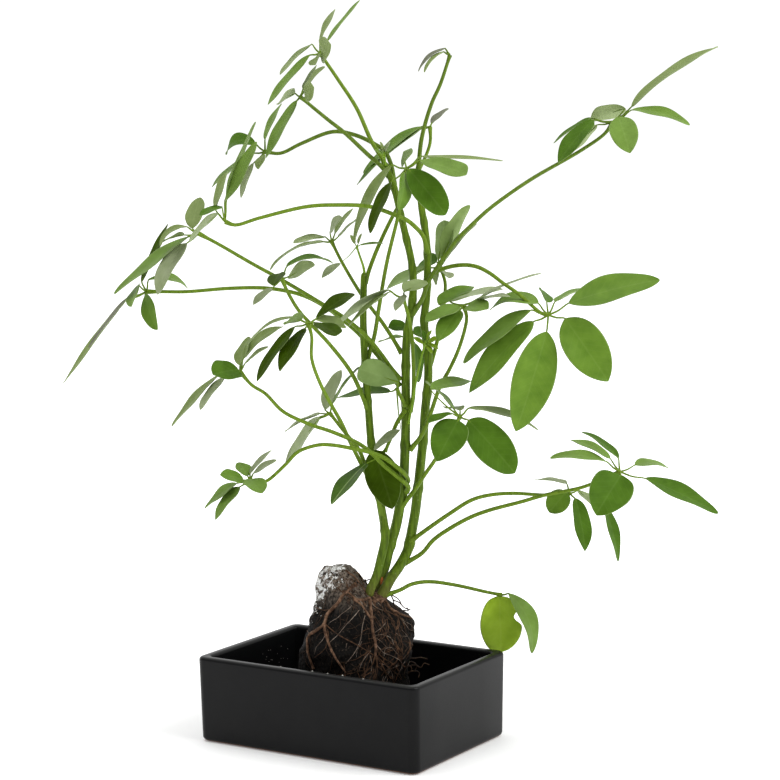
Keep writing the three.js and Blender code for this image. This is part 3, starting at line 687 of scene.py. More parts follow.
def curve_points(points: Sequence[Vector], step: float) -> list[Vector]:
    """Points along a smooth centripetal curve through the given ones.

    Args:
        points: The points that it passes through.
        step: Distance between the results, about.

    Returns:
        The points, from the first to the last.
    """
    first, last = points[0] * 2 - points[1], points[-1] * 2 - points[-2]
    guides = [first, *points, last]
    result: list[Vector] = []
    for before, start, end, after in zip(guides, guides[1:], guides[2:], guides[3:]):
        spans = ((before, start), (start, end), (end, after))
        gaps = [max(1e-6, math.sqrt((b - a).length)) for a, b in spans]
        out = ((start - before) / gaps[0] - (end - before) / (gaps[0] + gaps[1])
               + (end - start) / gaps[1]) * gaps[1]
        into = ((end - start) / gaps[1] - (after - start) / (gaps[1] + gaps[2])
                + (after - end) / gaps[2]) * gaps[1]
        count = max(1, round((end - start).length / step))
        for index in range(count):
            s = index / count
            result.append(start * (2 * s**3 - 3 * s**2 + 1) + out * (s**3 - 2 * s**2 + s)
                          + end * (3 * s**2 - 2 * s**3) + into * (s**3 - s**2))
    result.append(points[-1].copy())
    return result


@dataclass
class Thread:
    """One round bar along a line: its points in millimetres and its radius at each of them."""

    points: list[Vector]
    radii: list[float]


def bars(name: str, threads: Sequence[Thread], finish: Finish, sides: int) -> Piece:
    """Makes round bars with closed ends as one mesh object.

    Args:
        name: Name of the object.
        threads: The bars.
        finish: Their finish.
        sides: Faces round each bar, about.

    Returns:
        The mesh object.
    """
    data = bpy.data.curves.new(name, "CURVE")
    data.dimensions = "3D"
    data.bevel_depth = MM
    data.bevel_resolution = sides // 4
    data.use_fill_caps = True
    for thread in threads:
        spline = data.splines.new("POLY")
        spline.points.add(len(thread.points) - 1)
        for knot, point, radius in zip(spline.points, thread.points, thread.radii):
            knot.co = (*(point * MM), 1)
            knot.radius = radius
    thing = bpy.data.objects.new(name, data)
    bpy.context.scene.collection.objects.link(thing)
    pick(thing)
    bpy.ops.object.convert(target="MESH")
    thing = bpy.context.view_layer.objects.active
    thing.data.materials.clear()
    thing.data.materials.append(finish.material())
    smooth(thing)
    return thing


def tapered(points: Sequence[Vector], start: float, end: float, step: float,
            swell: Callable[[float], float] | None = None) -> Thread:
    """A bar along a smooth curve, from one radius to another.

    Args:
        points: Millimetre points that it passes through.
        start: Radius at the first point.
        end: Radius at the last point.
        step: Distance between rings.
        swell: Factor on the radius at a share of the length.

    Returns:
        The bar.
    """
    line = curve_points(points, step)
    shares = [index / (len(line) - 1) for index in range(len(line))]
    radii = [(start + (end - start) * share) * (swell(share) if swell else 1.0) for share in shares]
    return Thread(line, radii)


def rise_of(spot: Vector) -> float:
    """Share of the way up from the lower pole of a ball to the upper one, along its side."""
    return math.asin(max(-1.0, min(1.0, spot.z))) / math.pi + 0.5


# Tray


@dataclass
class Tray:
    """The open rectangular tray, glazed black inside and out. Sizes are millimetres.

    Its skin runs from the middle of the underside round the foot, up the outside, over the rim and
    down to the middle of the inner floor.
    """

    length: float = 153.0
    width: float = 103.0
    height: float = TRAY_HEIGHT
    wall: float = 6.0
    floor: float = TRAY_FLOOR
    taper: float = 0.8
    corner: float = 5.5
    inner_corner: float = 3.0
    rim_round: float = 2.0
    foot_round: float = 2.8
    hollow_round: float = 3.6
    middle: Spot = (28.0, 1.0)
    halfway: Spot = (10.0, 2.0)
    round_steps: int = 5
    arc_steps: int = 8
    side_steps: int = 4

    def lean(self, height: float) -> float:
        """How far a wall has come in at a height, because the tray narrows to its foot."""
        return self.taper * (1 - height / self.height)

    def profile(self) -> list[Place]:
        """Follows the skin from the underside to the inner floor.

        Returns:
            Its rings, each as distance in from the rim's outline, corner radius and height.
        """
        quarter = [math.pi / 2 * step / self.round_steps for step in range(self.round_steps + 1)]
        foot, rim, low = self.foot_round, self.rim_round, self.hollow_round
        rings = [(*self.middle, 0.0), (*self.halfway, 0.0)]
        for turn in quarter:
            gap = foot * (1 - math.sin(turn))
            rings.append((self.lean(0) + gap, self.corner - 0.5 * gap, foot * (1 - math.cos(turn))))
        for turn in quarter:
            gap = rim * (1 - math.cos(turn))
            rings.append((gap, self.corner - gap, self.height - rim + rim * math.sin(turn)))
        for turn in quarter:
            gap = rim * (1 - math.sin(turn))
            height = self.height - rim + rim * math.cos(turn)
            rings.append((self.wall - gap, self.inner_corner + gap, height))
        for turn in quarter:
            gap = low * (1 - math.cos(turn))
            rings.append((self.wall + self.taper + gap, max(0.8, self.inner_corner - 0.6 * gap),
                          self.floor + low * (1 - math.sin(turn))))
        rings.append((*self.middle, self.floor))
        return rings

    def ring_point(self, ring: Place, index: int) -> Vector:
        """Finds one point of a ring. Each quarter has an arc and then the straight to the next one.

        Args:
            ring: Distance in from the rim's outline, corner radius and height.
            index: Number of the point, from the arc on the right at the back.

        Returns:
            The point in millimetres.
        """
        inset, corner, height = ring
        half = Vector((self.length / 2 - inset - corner, self.width / 2 - inset - corner, 0))
        quarter, step = divmod(index, self.arc_steps + self.side_steps)
        turns = ((1, 1), (-1, 1), (-1, -1), (1, -1), (1, 1))
        here = Vector((turns[quarter][0] * half.x, turns[quarter][1] * half.y, height))
        first = math.pi / 2 * quarter
        if step <= self.arc_steps:
            angle = first + math.pi / 2 * step / self.arc_steps
            return here + Vector((math.cos(angle), math.sin(angle), 0)) * corner
        after = Vector((turns[quarter + 1][0] * half.x, turns[quarter + 1][1] * half.y, height))
        out = Vector((math.cos(first + math.pi / 2), math.sin(first + math.pi / 2), 0)) * corner
        return (here + out).lerp(after + out, (step - self.arc_steps) / self.side_steps)

    def build(self) -> Piece:
        """Shapes a ball into the tray, ring by ring.

        Returns:
            The tray.
        """
        rings = self.profile()
        sides = 4 * (self.arc_steps + self.side_steps)
        thing = ball(bpy.ops.mesh.primitive_uv_sphere_add, "glazed_tray", GLAZE, segments=sides,
                     ring_count=len(rings) + 1)
        for vertex in thing.data.vertices:
            row = round(rise_of(vertex.co) * (len(rings) + 1))
            if row == 0:
                vertex.co = (0, 0, 0)
            elif row > len(rings):
                vertex.co = (0, 0, self.floor * MM)
            else:
                index = round(math.atan2(vertex.co.y, vertex.co.x) / (2 * math.pi) * sides) % sides
                vertex.co = self.ring_point(rings[row - 1], index) * MM
        smooth(thing, 35)
        return finished(thing, "glaze", "tray")


# Lava rock


@dataclass
class LavaRock:
    """The lump of lava: level sections as height, centre across, centre near, half across, half near,
    and what breaks its skin, with each kind of pit as spacing, share of it that is hollow, and depth.
    Sizes are millimetres."""

    sections: tuple[tuple[float, ...], ...] = (
        (6.3, 2.5, 0, 27.5, 26), (12, 2.5, 0, 30, 29), (26, 2.2, 0, 31, 30), (44, 2.5, 0, 31, 30.5),
        (58, 4.3, 0, 32.5, 30), (70, 4.2, 0, 30.5, 27), (79, 1.6, 0, 24.6, 23), (86, -0.6, 0, 18.7, 17.5),
        (92, -4.4, 0, 14, 12.5), (98.5, -6.1, 0, 11.3, 9.5), (103.8, -7, 0, 7.8, 6.2),
    )
    rugged: float = 1.5
    rugged_half: float = 20.0
    core: Spot = (4.0, 50.0)
    lump_size: float = 9.0
    lump_lift: float = 0.15
    pits: tuple[Place, ...] = ((4.2, 0.42, 1.15), (1.9, 0.4, 0.5))
    cap: float = 0.1
    seen: Spot = (60.0, -50.0)
    seen_step: float = 0.5

    def section(self, height: float) -> tuple[float, ...]:
        """Finds the level section at a height.

        Args:
            height: Height over the table.

        Returns:
            Height, centre and half sizes.
        """
        row = 0
        while row < len(self.sections) - 2 and self.sections[row + 1][0] < height:
            row += 1
        low, high = self.sections[row], self.sections[row + 1]
        share = (height - low[0]) / (high[0] - low[0])
        return tuple(a + (b - a) * share for a, b in zip(low, high))

    def halves(self, angle: float, height: float, grow: float) -> Spot:
        """Finds how far the surface reaches out at an angle, with its ribs, which die down at the crown.

        Args:
            angle: Angle round the rock, 0 to the right of the view.
            height: Height over the table.
            grow: Distance outside the surface.

        Returns:
            Half sizes across and near.
        """
        ribs = math.sin(3 * angle + height / 9) + 0.8 * math.sin(5 * angle - height / 6 + 1)
        pits = 0.6 * math.sin(9 * angle + height / 3.5) * math.sin(height / 5 + 2 * angle)
        half_across, half_near = self.section(height)[3:]
        rough = self.rugged * (ribs + pits) * min(1, half_across / self.rugged_half)
        return half_across + grow + rough, half_near + grow + rough

    def point(self, angle: float, height: float, grow: float = 0.0, share: float = 1.0) -> Vector:
        """A point on the rock, in millimetres.

        Args:
            angle: Angle round the rock, 0 to the right of the view.
            height: Height over the table.
            grow: Distance outside the surface.
            share: Part of the way out from the rock's axis.

        Returns:
            The point.
        """
        across, near = self.section(height)[1:3]
        half_across, half_near = self.halves(angle, height, grow)
        return (SIGHT.across() * (across + half_across * math.cos(angle) * share)
                + SIGHT.near() * (near + half_near * math.sin(angle) * share)
                + Vector((0, 0, height)))

    def holds(self, point: Vector, grow: float) -> bool:
        """Tells whether a millimetre point is inside the rock.

        Args:
            point: The point.
            grow: Distance that the rock is grown by.

        Returns:
            True if it is.
        """
        if point.z > self.sections[-1][0] + grow:
            return False
        across, near, half_across, half_near = self.section(point.z)[1:]
        aside, ahead = point.dot(SIGHT.across()) - across, point.dot(SIGHT.near()) - near
        halves = self.halves(math.atan2(ahead / half_near, aside / half_across), point.z, grow)
        return math.hypot(aside / halves[0], ahead / halves[1]) < 1

    def facing(self, spot: Spot, lift: float) -> Vector | None:
        """Finds the rock's seen face behind a spot of the plate.

        Args:
            spot: Millimetres across and up on the plate.
            lift: Distance off the face.

        Returns:
            The point, or None if the rock isn't behind the spot.
        """
        near, last = self.seen
        while near > last:
            point = SIGHT.place((*spot, near))
            if self.holds(point, lift):
                return point + self.lump(point)
            near -= self.seen_step
        return None

    def outward(self, spot: Vector) -> Vector:
        """Direction from the rock's core to a millimetre point."""
        return (spot - SIGHT.across() * self.core[0] - Vector((0, 0, self.core[1]))).normalized()

    def lump(self, spot: Vector) -> Vector:
        """How far the broken skin stands off the smooth form at a millimetre point."""
        swell = noise.fractal(spot / self.lump_size, 1.0, 2.0, 4) + self.lump_lift
        return self.outward(spot) * swell

    def pitting(self, spot: Vector) -> float:
        """Finds how deep the froth's pits are.

        Args:
            spot: Millimetre point on the rock.

        Returns:
            The depth in millimetres.
        """
        depth = 0.0
        for index, (gap, reach, deepest) in enumerate(self.pits):
            away = noise.voronoi(spot / gap + Vector((7, 3, 1)) * index)[0][0]
            depth += deepest * max(0.0, reach - away) / reach
        return depth

    def build(self) -> Piece:
        """Shapes a ball into the rock and breaks its skin into lumps, folds and pits.

        Returns:
            The rock.
        """
        thing = ball(bpy.ops.mesh.primitive_uv_sphere_add, "pitted_lava_rock", LAVA, segments=176,
                     ring_count=120)
        low, high = self.sections[0][0], self.sections[-1][0]
        for vertex in thing.data.vertices:
            level = rise_of(vertex.co)
            angle = math.atan2(vertex.co.y, vertex.co.x)
            # The poles close the rock with a flat fan at its foot and its crown
            edge = min(level, 1 - level) / self.cap
            height = low + (high - low) * max(0.0, min(1.0, (level - self.cap) / (1 - 2 * self.cap)))
            spot = self.point(angle, height, 0.0, min(1.0, edge))
            if spot.z >= low + 0.5:
                spot = spot + self.lump(spot) - self.outward(spot) * self.pitting(spot)
            vertex.co = spot * MM
        smooth(thing)
        return finished(thing, "lava", "lava_rock")


ROCK = LavaRock()


# Roots


Trace = tuple[float, float, tuple[Spot, ...]]


@dataclass(frozen=True)
class Spray:
    """How many fine roots of a kind there are, and the ranges they start in: angle round the rock,
    height, turn of their way, length and radius, with how much they turn at each step."""

    count: int
    angle: Spot
    height: Spot
    lean: Spot
    length: Spot
    radius: Spot
    drift: float


@dataclass
class Roots:
    """The root crown and the roots that clasp the rock. Those that can be told apart are given by the
    radius at both ends and their places on the plate. The finest wander down the rock by chance."""

    crown: Place = (-8.5, -124.5, 4)
    crown_half: Place = (7.0, 3.6, 8.2)
    torn: Place = (-5, -114.5, 1.9)
    torn_half: Place = (0.8, 2.2, 0.7)
    stride: float = 2.0
    floor_stride: float = 5.0
    floor_half: Spot = (66.0, 41.0)
    free_near: Spot = (5.0, 2.0)
    free_radii: Spot = (0.45, 0.32)
    thick: tuple[Trace, ...] = (
        (1.15, 0.75, ((-20, -116), (-23.5, -118.5), (-26.5, -121.5), (-29, -124), (-31.5, -128),
                      (-35.5, -132.5), (-38, -136), (-39, -140), (-43, -144), (-47, -146.5), (-49.5, -149),
                      (-49.5, -153.5), (-48.5, -158.5), (-47, -164), (-45.5, -167.5))),
        (0.85, 0.5, ((-39, -140), (-39, -144), (-38, -149), (-36, -153.5), (-33, -160), (-29.5, -165.5),
                      (-26.5, -169.5))),
        (1.15, 0.7, ((-12, -126), (-11.5, -132.5), (-11, -139), (-10.5, -144.5), (-9, -150), (-8.5, -155),
                      (-9, -159.5))),
        (1.0, 0.7, ((-12, -125), (-16, -126), (-18.5, -126.5), (-21, -125.5), (-23, -123.5),
                      (-25.5, -121.5), (-28.5, -120.5))),
        (0.75, 0.5, ((-21.5, -126), (-18, -129), (-15, -132.5), (-12, -137), (-11, -140.5))),
        (1.05, 0.5, ((-10.5, -125), (-6.5, -125), (-3, -126.5), (-0.5, -129.5), (2.5, -132.5), (6, -134.5),
                      (10.5, -136), (13.5, -137))),
        (0.55, 0.4, ((-26.5, -108.5), (-24.5, -110), (-21.5, -111.5), (-18.5, -115.5), (-16, -119),
                      (-14, -123))),
        (0.5, 0.4, ((-21.5, -109), (-18.5, -110.5), (-17, -113.5), (-15.5, -117.5), (-14.5, -122))),
    )
    brown: tuple[Trace, ...] = (
        (0.45, 0.25, ((-9, -159), (-10.5, -164), (-14, -168.5), (-16.5, -172))),
        (0.4, 0.25, ((-9, -159), (-8, -164), (-9, -168.5), (-8, -173.5))),
        (0.42, 0.25, ((-9, -159), (-5.5, -164), (-3, -168.5), (1, -173.5))),
        (0.35, 0.2, ((-8.5, -155.5), (-4.5, -160.5), (1, -164), (5.5, -168.5))),
        (0.45, 0.25, ((-3.5, -126), (-3, -130.5), (-1, -135), (2, -139.5), (3.5, -143.5))),
        (0.4, 0.22, ((2.5, -132.5), (4.5, -136), (5.5, -140.5), (3.5, -144.5))),
        (0.35, 0.2, ((-6.5, -125.5), (-5, -129.5), (-3, -133), (1, -138), (3, -139.5))),
        (0.4, 0.3, ((-31.5, -118.5), (-28, -122), (-25, -124), (-21.5, -126))),
        (0.3, 0.2, ((-45, -130.5), (-40, -132), (-36.5, -132))),
        (0.35, 0.25, ((-39, -140.5), (-31.5, -146.5), (-24.5, -150.5), (-17, -154.5), (-10, -159))),
        (0.3, 0.2, ((-12, -154.5), (-15, -159.5), (-17.5, -164), (-21.5, -168.5))),
        (0.28, 0.2, ((-10.5, -159.5), (-13, -164), (-14.5, -168.5), (-17.5, -172))),
        (0.32, 0.2, ((-8, -159.5), (-3.5, -164), (2, -168.5), (6.5, -173.5))),
        (0.28, 0.18, ((5.5, -144.5), (6.5, -150), (7.5, -155.5), (6.5, -161), (4.5, -167), (6.5, -172.5))),
        (0.25, 0.18, ((-16.5, -155), (-18, -157.5), (-17, -159.5), (-14.5, -158), (-12, -156))),
        (0.25, 0.18, ((-37.5, -143.5), (-37, -149), (-38, -153.5), (-41, -157.5), (-45, -160.5))),
        (0.28, 0.2, ((-48, -146.5), (-50.5, -143.5), (-52.5, -148), (-54, -152))),
        (0.3, 0.2, ((-24.5, -119.5), (-26, -115.5), (-24.5, -113.5), (-20.5, -114.5))),
    )
    pale: tuple[Trace, ...] = (
        (0.2, 0.15, ((-23, -129.5), (-26.5, -133), (-31, -136.5), (-36, -139.5))),
        (0.22, 0.15, ((-18.5, -132.5), (-23, -137.5), (-27, -142), (-31.5, -147), (-36, -151.5))),
        (0.24, 0.18, ((-15, -135.5), (-16.5, -141.5), (-17.5, -149), (-19.5, -154.5), (-23, -160),
                      (-26.5, -164))),
        (0.2, 0.15, ((-2.5, -139.5), (-5, -142.5), (-9, -145.5))),
        (0.2, 0.15, ((-9, -147.5), (-5, -146.5), (-1.5, -147.5), (1.5, -149.5), (2.5, -152.5))),
        (0.22, 0.15, ((-8, -153), (-4, -157.5), (1, -159.5), (6.5, -163), (7, -167))),
        (0.18, 0.14, ((-38.5, -146.5), (-41, -150.5), (-44, -154.5), (-45, -158.5))),
        (0.18, 0.14, ((-11.5, -156.5), (-15, -160.5), (-17, -164), (-18.5, -168.5))),
        (0.18, 0.14, ((-12, -159.5), (-11, -165), (-11.5, -170.5))),
        (0.18, 0.14, ((-6.5, -164), (-3, -165), (1, -169.5), (2, -173.5))),
        (0.16, 0.12, ((-3.5, -159.5), (-3, -155.5), (1, -154.5), (5.5, -159.5))),
        (0.16, 0.12, ((-26, -152), (-26.5, -154.5))),
        (0.18, 0.14, ((-1, -170.5), (1, -167), (5.5, -165))),
    )
    loose: tuple[tuple[Spot, ...], ...] = (
        ((-3, -124), (0.5, -123), (3, -124), (5.5, -126), (7, -129)),
        ((1.5, -126), (5.5, -127.5), (8.5, -130.5), (12.5, -132)),
        ((0.5, -123), (2, -126), (2.5, -128.5), (5.5, -132)),
        ((5.5, -130.5), (8.5, -133), (11.5, -134.5)),
        ((10, -130.5), (11, -132.5), (8, -132)),
        ((-17.5, -114), (-15, -115), (-12.5, -113.5), (-11, -115)),
        ((-15, -113.5), (-13.5, -117), (-10, -119.5), (-6.5, -120.5)),
        ((8.5, -165), (12.5, -163), (16, -165), (15, -168), (12, -169)),
        ((8.5, -160.5), (15, -161), (18.5, -160.5), (22.5, -161.5)),
        ((8, -167), (15, -165), (18.5, -166.5), (20.5, -164), (23.5, -165)),
        ((8.5, -170.5), (14, -168.5), (17.5, -169.5), (17, -172.5)),
        ((9.5, -164), (13, -167), (11, -170.5)),
    )

    def knobbly(self, seed: int) -> Callable[[float], float]:
        """A swell that thickens and thins a root along its length."""
        return lambda share: 1 + 0.22 * noise.noise(Vector((share * 9, seed * 3.1, 0.5)))

    def crown_lump(self) -> Piece:
        """Shapes a ball into the woody crown that the stems rise from.

        Returns:
            The crown.
        """
        thing = ball(bpy.ops.mesh.primitive_ico_sphere_add, "crown", BARK, subdivisions=5)
        centre = SIGHT.place(self.crown)
        for vertex in thing.data.vertices:
            way = vertex.co.copy()
            bulge = 0.94 + 0.16 * noise.noise(way * 2.1) + 0.06 * noise.noise(way * 6)
            across, up, near = [size * bulge for size in self.crown_half]
            vertex.co = (centre + SIGHT.across() * across * way.x + SIGHT.near() * near * way.z
                         + Vector((0, 0, up * way.y))) * MM
        edit_all(thing, partial(bpy.ops.mesh.normals_make_consistent, inside=False))
        smooth(thing)
        return thing

    def scar(self) -> Piece:
        """Shapes a ball into the orange scar of a torn root at the foot of the middle stem.

        Returns:
            The scar.
        """
        thing = ball(bpy.ops.mesh.primitive_ico_sphere_add, "scar", SCAR, subdivisions=3)
        left, up, near = self.torn
        half_across, half_up, half_near = self.torn_half
        for vertex in thing.data.vertices:
            way = vertex.co.copy()
            way *= 1 + 0.3 * noise.noise(way * 1.7)
            vertex.co = (SIGHT.place((left + 0.3 * way.y, up, near)) + SIGHT.across() * half_across * way.x
                         + SIGHT.near() * half_near * way.z + Vector((0, 0, half_up * way.y))) * MM
        smooth(thing)
        return thing

    def clasping(self, traces: Sequence[Trace]) -> list[Thread]:
        """Lays roots on the face of the rock that is seen.

        Args:
            traces: The radius at both ends of each root and its places on the plate.

        Returns:
            The bars.
        """
        threads = []
        for seed, (top, end, spots) in enumerate(traces):
            lift = 0.35 + 0.2 * (top + end)
            line = curve_points([Vector((*spot, 0)) for spot in spots], 1.6)
            points = [point for spot in line if (point := ROCK.facing(tuple(spot.xy), lift)) is not None]
            if len(points) > 1:
                threads.append(tapered(points, top, end, 1.2, self.knobbly(seed)))
        return threads

    def free(self) -> list[Thread]:
        """Makes the thin roots that stand away from the rock, in front of its right side.

        Returns:
            The bars.
        """
        threads = []
        middle, spread = self.free_near
        for spots in self.loose:
            nears = [middle + spread * noise.noise(Vector((*spot, 0)) / 3) for spot in spots]
            points = [SIGHT.place((*spot, near)) for spot, near in zip(spots, nears)]
            threads.append(tapered(points, *self.free_radii, 1.0))
        return threads

    def wandering(self, chance: random.Random, start: Place, length: float, radius: float,
                  drift: float) -> Thread:
        """A fine root that wanders down the rock.

        Args:
            chance: Seeded source of chance.
            start: Angle round the rock, height, and turn of its way.
            length: Its length in millimetres.
            radius: Its radius at the top.
            drift: How much it turns at each step.

        Returns:
            The bar.
        """
        angle, height, lean = start
        points = []
        for _ in range(int(length / self.stride)):
            spot = ROCK.point(angle, height, radius * 0.8)
            points.append(spot + ROCK.lump(spot))
            lean += chance.uniform(-drift, drift)
            lean = max(-1.4, min(1.4, lean))
            half = max(6.0, ROCK.section(height)[3])
            angle += math.sin(lean) * self.stride / half
            height -= math.cos(lean) * self.stride
            if height < TRAY_FLOOR + 2:
                break
        if len(points) < 3:
            points += [points[-1] - Vector((0, 0, 2)), points[-1] - Vector((0, 0, 4))]
        return tapered(points, radius, radius * 0.6, 1.4)

    def floor_root(self, chance: random.Random, radius: float) -> Thread:
        """A loose fine root that runs out over the tray's floor at the right of the rock.

        Args:
            chance: Seeded source of chance.
            radius: Its radius at the rock.

        Returns:
            The bar.
        """
        angle = chance.uniform(-0.9, 1.2)
        heading = angle + chance.uniform(-0.8, 0.8)
        foot = ROCK.point(angle, 9.5, 0.5)
        points = [ROCK.point(angle, 13, 0.3), foot]
        place = foot.copy()
        half_x, half_y = self.floor_half
        for _ in range(chance.randint(3, 6)):
            heading += chance.uniform(-0.7, 0.7)
            way = SIGHT.across() * math.cos(heading) + SIGHT.near() * math.sin(heading)
            place = place + way * self.floor_stride
            place.x = max(-half_x, min(half_x, place.x))
            place.y = max(-half_y, min(half_y, place.y))
            place.z = TRAY_FLOOR + 0.3 + radius + chance.uniform(0, 1.4)
            points.append(place.copy())
        return tapered(points, radius, radius * 0.5, 1.6)

    def sprayed(self, chance: random.Random, spray: Spray) -> list[Thread]:
        """Makes fine roots of one kind, each started at random.

        Args:
            chance: Seeded source of chance.
            spray: Their number and the ranges they start in.

        Returns:
            The bars.
        """
        threads = []
        for _ in range(spray.count):
            start = tuple(chance.uniform(*part) for part in (spray.angle, spray.height, spray.lean))
            length, radius = chance.uniform(*spray.length), chance.uniform(*spray.radius)
            threads.append(self.wandering(chance, start, length, radius, spray.drift))
        return threads

    def build(self) -> list[Piece]:
        """Makes the thick roots with the crown, then the brown, the pale and the dark fine ones.

        Returns:
            The four pieces.
        """
        thick = bars("thick", self.clasping(self.thick), BARK, 12)
        main = joined("clasping_roots", [thick, self.crown_lump(), self.scar()])
        chance = random.Random(11)
        roots = partial(self.sprayed, chance)
        brown, pale, dark = self.clasping(self.brown), self.clasping(self.pale), []
        brown += roots(Spray(30, (0.35, 1.35), (60, 86), (-1.1, 1.1), (10, 30), (0.16, 0.3), 0.45))
        brown += roots(Spray(22, (0.4, 1.9), (40, 58), (-0.9, 0.9), (10, 26), (0.16, 0.3), 0.45))
        pale += [self.floor_root(chance, chance.uniform(0.2, 0.3)) for _ in range(6)]
        brown += roots(Spray(30, (0.2, 1.6), (84, 101), (-1.3, 1.3), (6, 16), (0.14, 0.26), 0.6))
        pale += roots(Spray(14, (0.3, 1.5), (40, 76), (-1.2, 1.2), (10, 22), (0.1, 0.16), 0.5))
        pale += roots(Spray(26, (0.3, 1.6), (84, 100), (-1.3, 1.3), (6, 13), (0.13, 0.22), 0.6))
        dark += roots(Spray(44, (0.1, 1.4), (66, 94), (-1.3, 1.1), (8, 22), (0.14, 0.24), 0.7))
        dark += roots(Spray(26, (1.3, 2.8), (40, 88), (-0.9, 0.9), (10, 30), (0.12, 0.2), 0.4))
        dark += [self.floor_root(chance, chance.uniform(0.2, 0.35)) for _ in range(16)]
        dark += self.free()
        fine = (("brown_root_fibres", brown, FIBRE), ("pale_root_hairs", pale, HAIR),
                ("dark_root_wisps", dark, WISP))
        return [finished(main, "bark", "roots"),
                *(finished(bars(name, threads, finish, 4), "bark") for name, threads, finish in fine)]


# Stems


@dataclass
class Stem:
    """One upright stem: radius at the foot and the tip, its places from the crown upwards, and the
    shares of its length where leaves fell."""

    name: str
    radii: Spot
    path: tuple[Place, ...]
    knots: tuple[float, ...]
    knot_swell: float = 0.16
    knot_length: float = 0.009
    tip_length: float = 0.018

    def swell(self, share: float) -> float:
        """Thickens the stem at its scars and rounds its tip.

        Args:
            share: Share of its length.

        Returns:
            Factor on its radius.
        """
        factor = 1.0 + 0.02 * noise.noise(Vector((share * 14, self.radii[0], 0)))
        for knot in self.knots:
            factor += self.knot_swell * math.exp(-(((share - knot) / self.knot_length) ** 2))
        rounding = max(0.0, (share - 1 + self.tip_length) / self.tip_length)
        return factor * math.sqrt(max(0.06, 1 - rounding**2))

    def build(self) -> Piece:
        """Makes the stem as one round bar with swollen knots.

        Returns:
            The stem.
        """
        points = [SIGHT.place(place) for place in self.path]
        thread = tapered(points, *self.radii, 1.6, self.swell)
        return finished(bars(f"green_{self.name}", [thread], STEM, 16), "stem", self.name)


STEMS = (
    Stem("stem_left", (2.7, 2.0), (
        (-12.5, -122.5, 8), (-11.5, -119, 9), (-8, -111, 8), (-5.5, -101, 8), (-3, -89, 8), (-3.5, -81, 7),
        (-5.5, -69, 6), (-11, -34, 4), (-13, -10, 3), (-15, 16, 2), (-16, 38, 2), (-16, 52, 2),
        (-15.5, 71, 2),
    ), (0.2, 0.33, 0.47, 0.6, 0.71, 0.8, 0.9)),
    Stem("stem_middle", (3.3, 1.8), (
        (-8.5, -122.5, 0), (-8, -118.5, -1), (-6, -114, -1.5), (-3, -105, -1), (-0.5, -95, 0), (3.5, -82, 0),
        (6, -69, 0), (8, -56, 0), (9, -36, 0), (9.5, -17, 0), (9.5, 16, 0), (10, 31, 0), (11.5, 41, 0),
        (13.5, 54, 0), (14, 66, 0), (12.5, 79, 0), (10, 90, 0), (5.5, 109, 0), (2.5, 121, 0), (-1, 131, 0),
        (-3, 137, 0),
    ), (0.12, 0.24, 0.35, 0.45, 0.53, 0.61, 0.68, 0.75, 0.82, 0.88, 0.94)),
    Stem("stem_right", (3.2, 1.9), (
        (-5, -123, 6), (-3, -119.5, 6), (0.5, -113, 4), (6, -105, 0), (11, -95, -3), (13, -85, -4),
        (15, -74, -4), (16.5, -62, -4), (18.5, -43, -4), (20, -29, -4), (21, -13, -4), (22.5, 1, -4),
        (23, 10, -4), (22.5, 23, -4), (20.5, 41, -4), (22, 57, -4), (22.5, 78, -4), (22, 88, -4),
        (20.5, 100, -5), (19, 109, -5), (17, 132, -5),
    ), (0.14, 0.27, 0.38, 0.49, 0.58, 0.66, 0.74, 0.81, 0.88)),
)


# Leaves


@dataclass(frozen=True)
class Bite:
    """A gap eaten out of a blade's edge: which side, its middle and half length as shares of the
    blade's length, and its depth as a share of the half width."""

    side: int
    middle: float
    half_length: float
    depth: float

    def cut(self, aside: float, share: float) -> float:
        """Finds how much of the half width is left at a place of the blade.

        Args:
            aside: From -1 at one edge to 1 at the other.
            share: From 0 at the root to 1 at the tip.

        Returns:
            The share that is left.
        """
        if aside * self.side <= 0:
            return 1.0
        away = abs(share - self.middle) / self.half_length
        return 1.0 - self.depth * math.sqrt(max(0.0, 1.0 - away * away))


LANCE = (0.6, 1.0)
OVAL = (0.5, 0.55)
BLUNT = (0.8, 0.42)
USUAL = (0.62, 0.74)
GOLDEN_STEP = 0.381966


@dataclass(frozen=True)
class Leaflet:
    """One blade of an umbrella leaf.

    Its root and tip are places on the plate, its tip has a depth, its width is across the blade, and
    its turn is how far the upper face is turned away from the eye, in degrees. Its shape is how
    bluntly it widens from the root and narrows to the tip.
    """

    tone: Tone
    root_across: float
    root_up: float
    tip_across: float
    tip_up: float
    tip_near: float
    width: float
    turn: float
    bow: float | None = None
    shape: Spot = USUAL
    bite: Bite | None = None


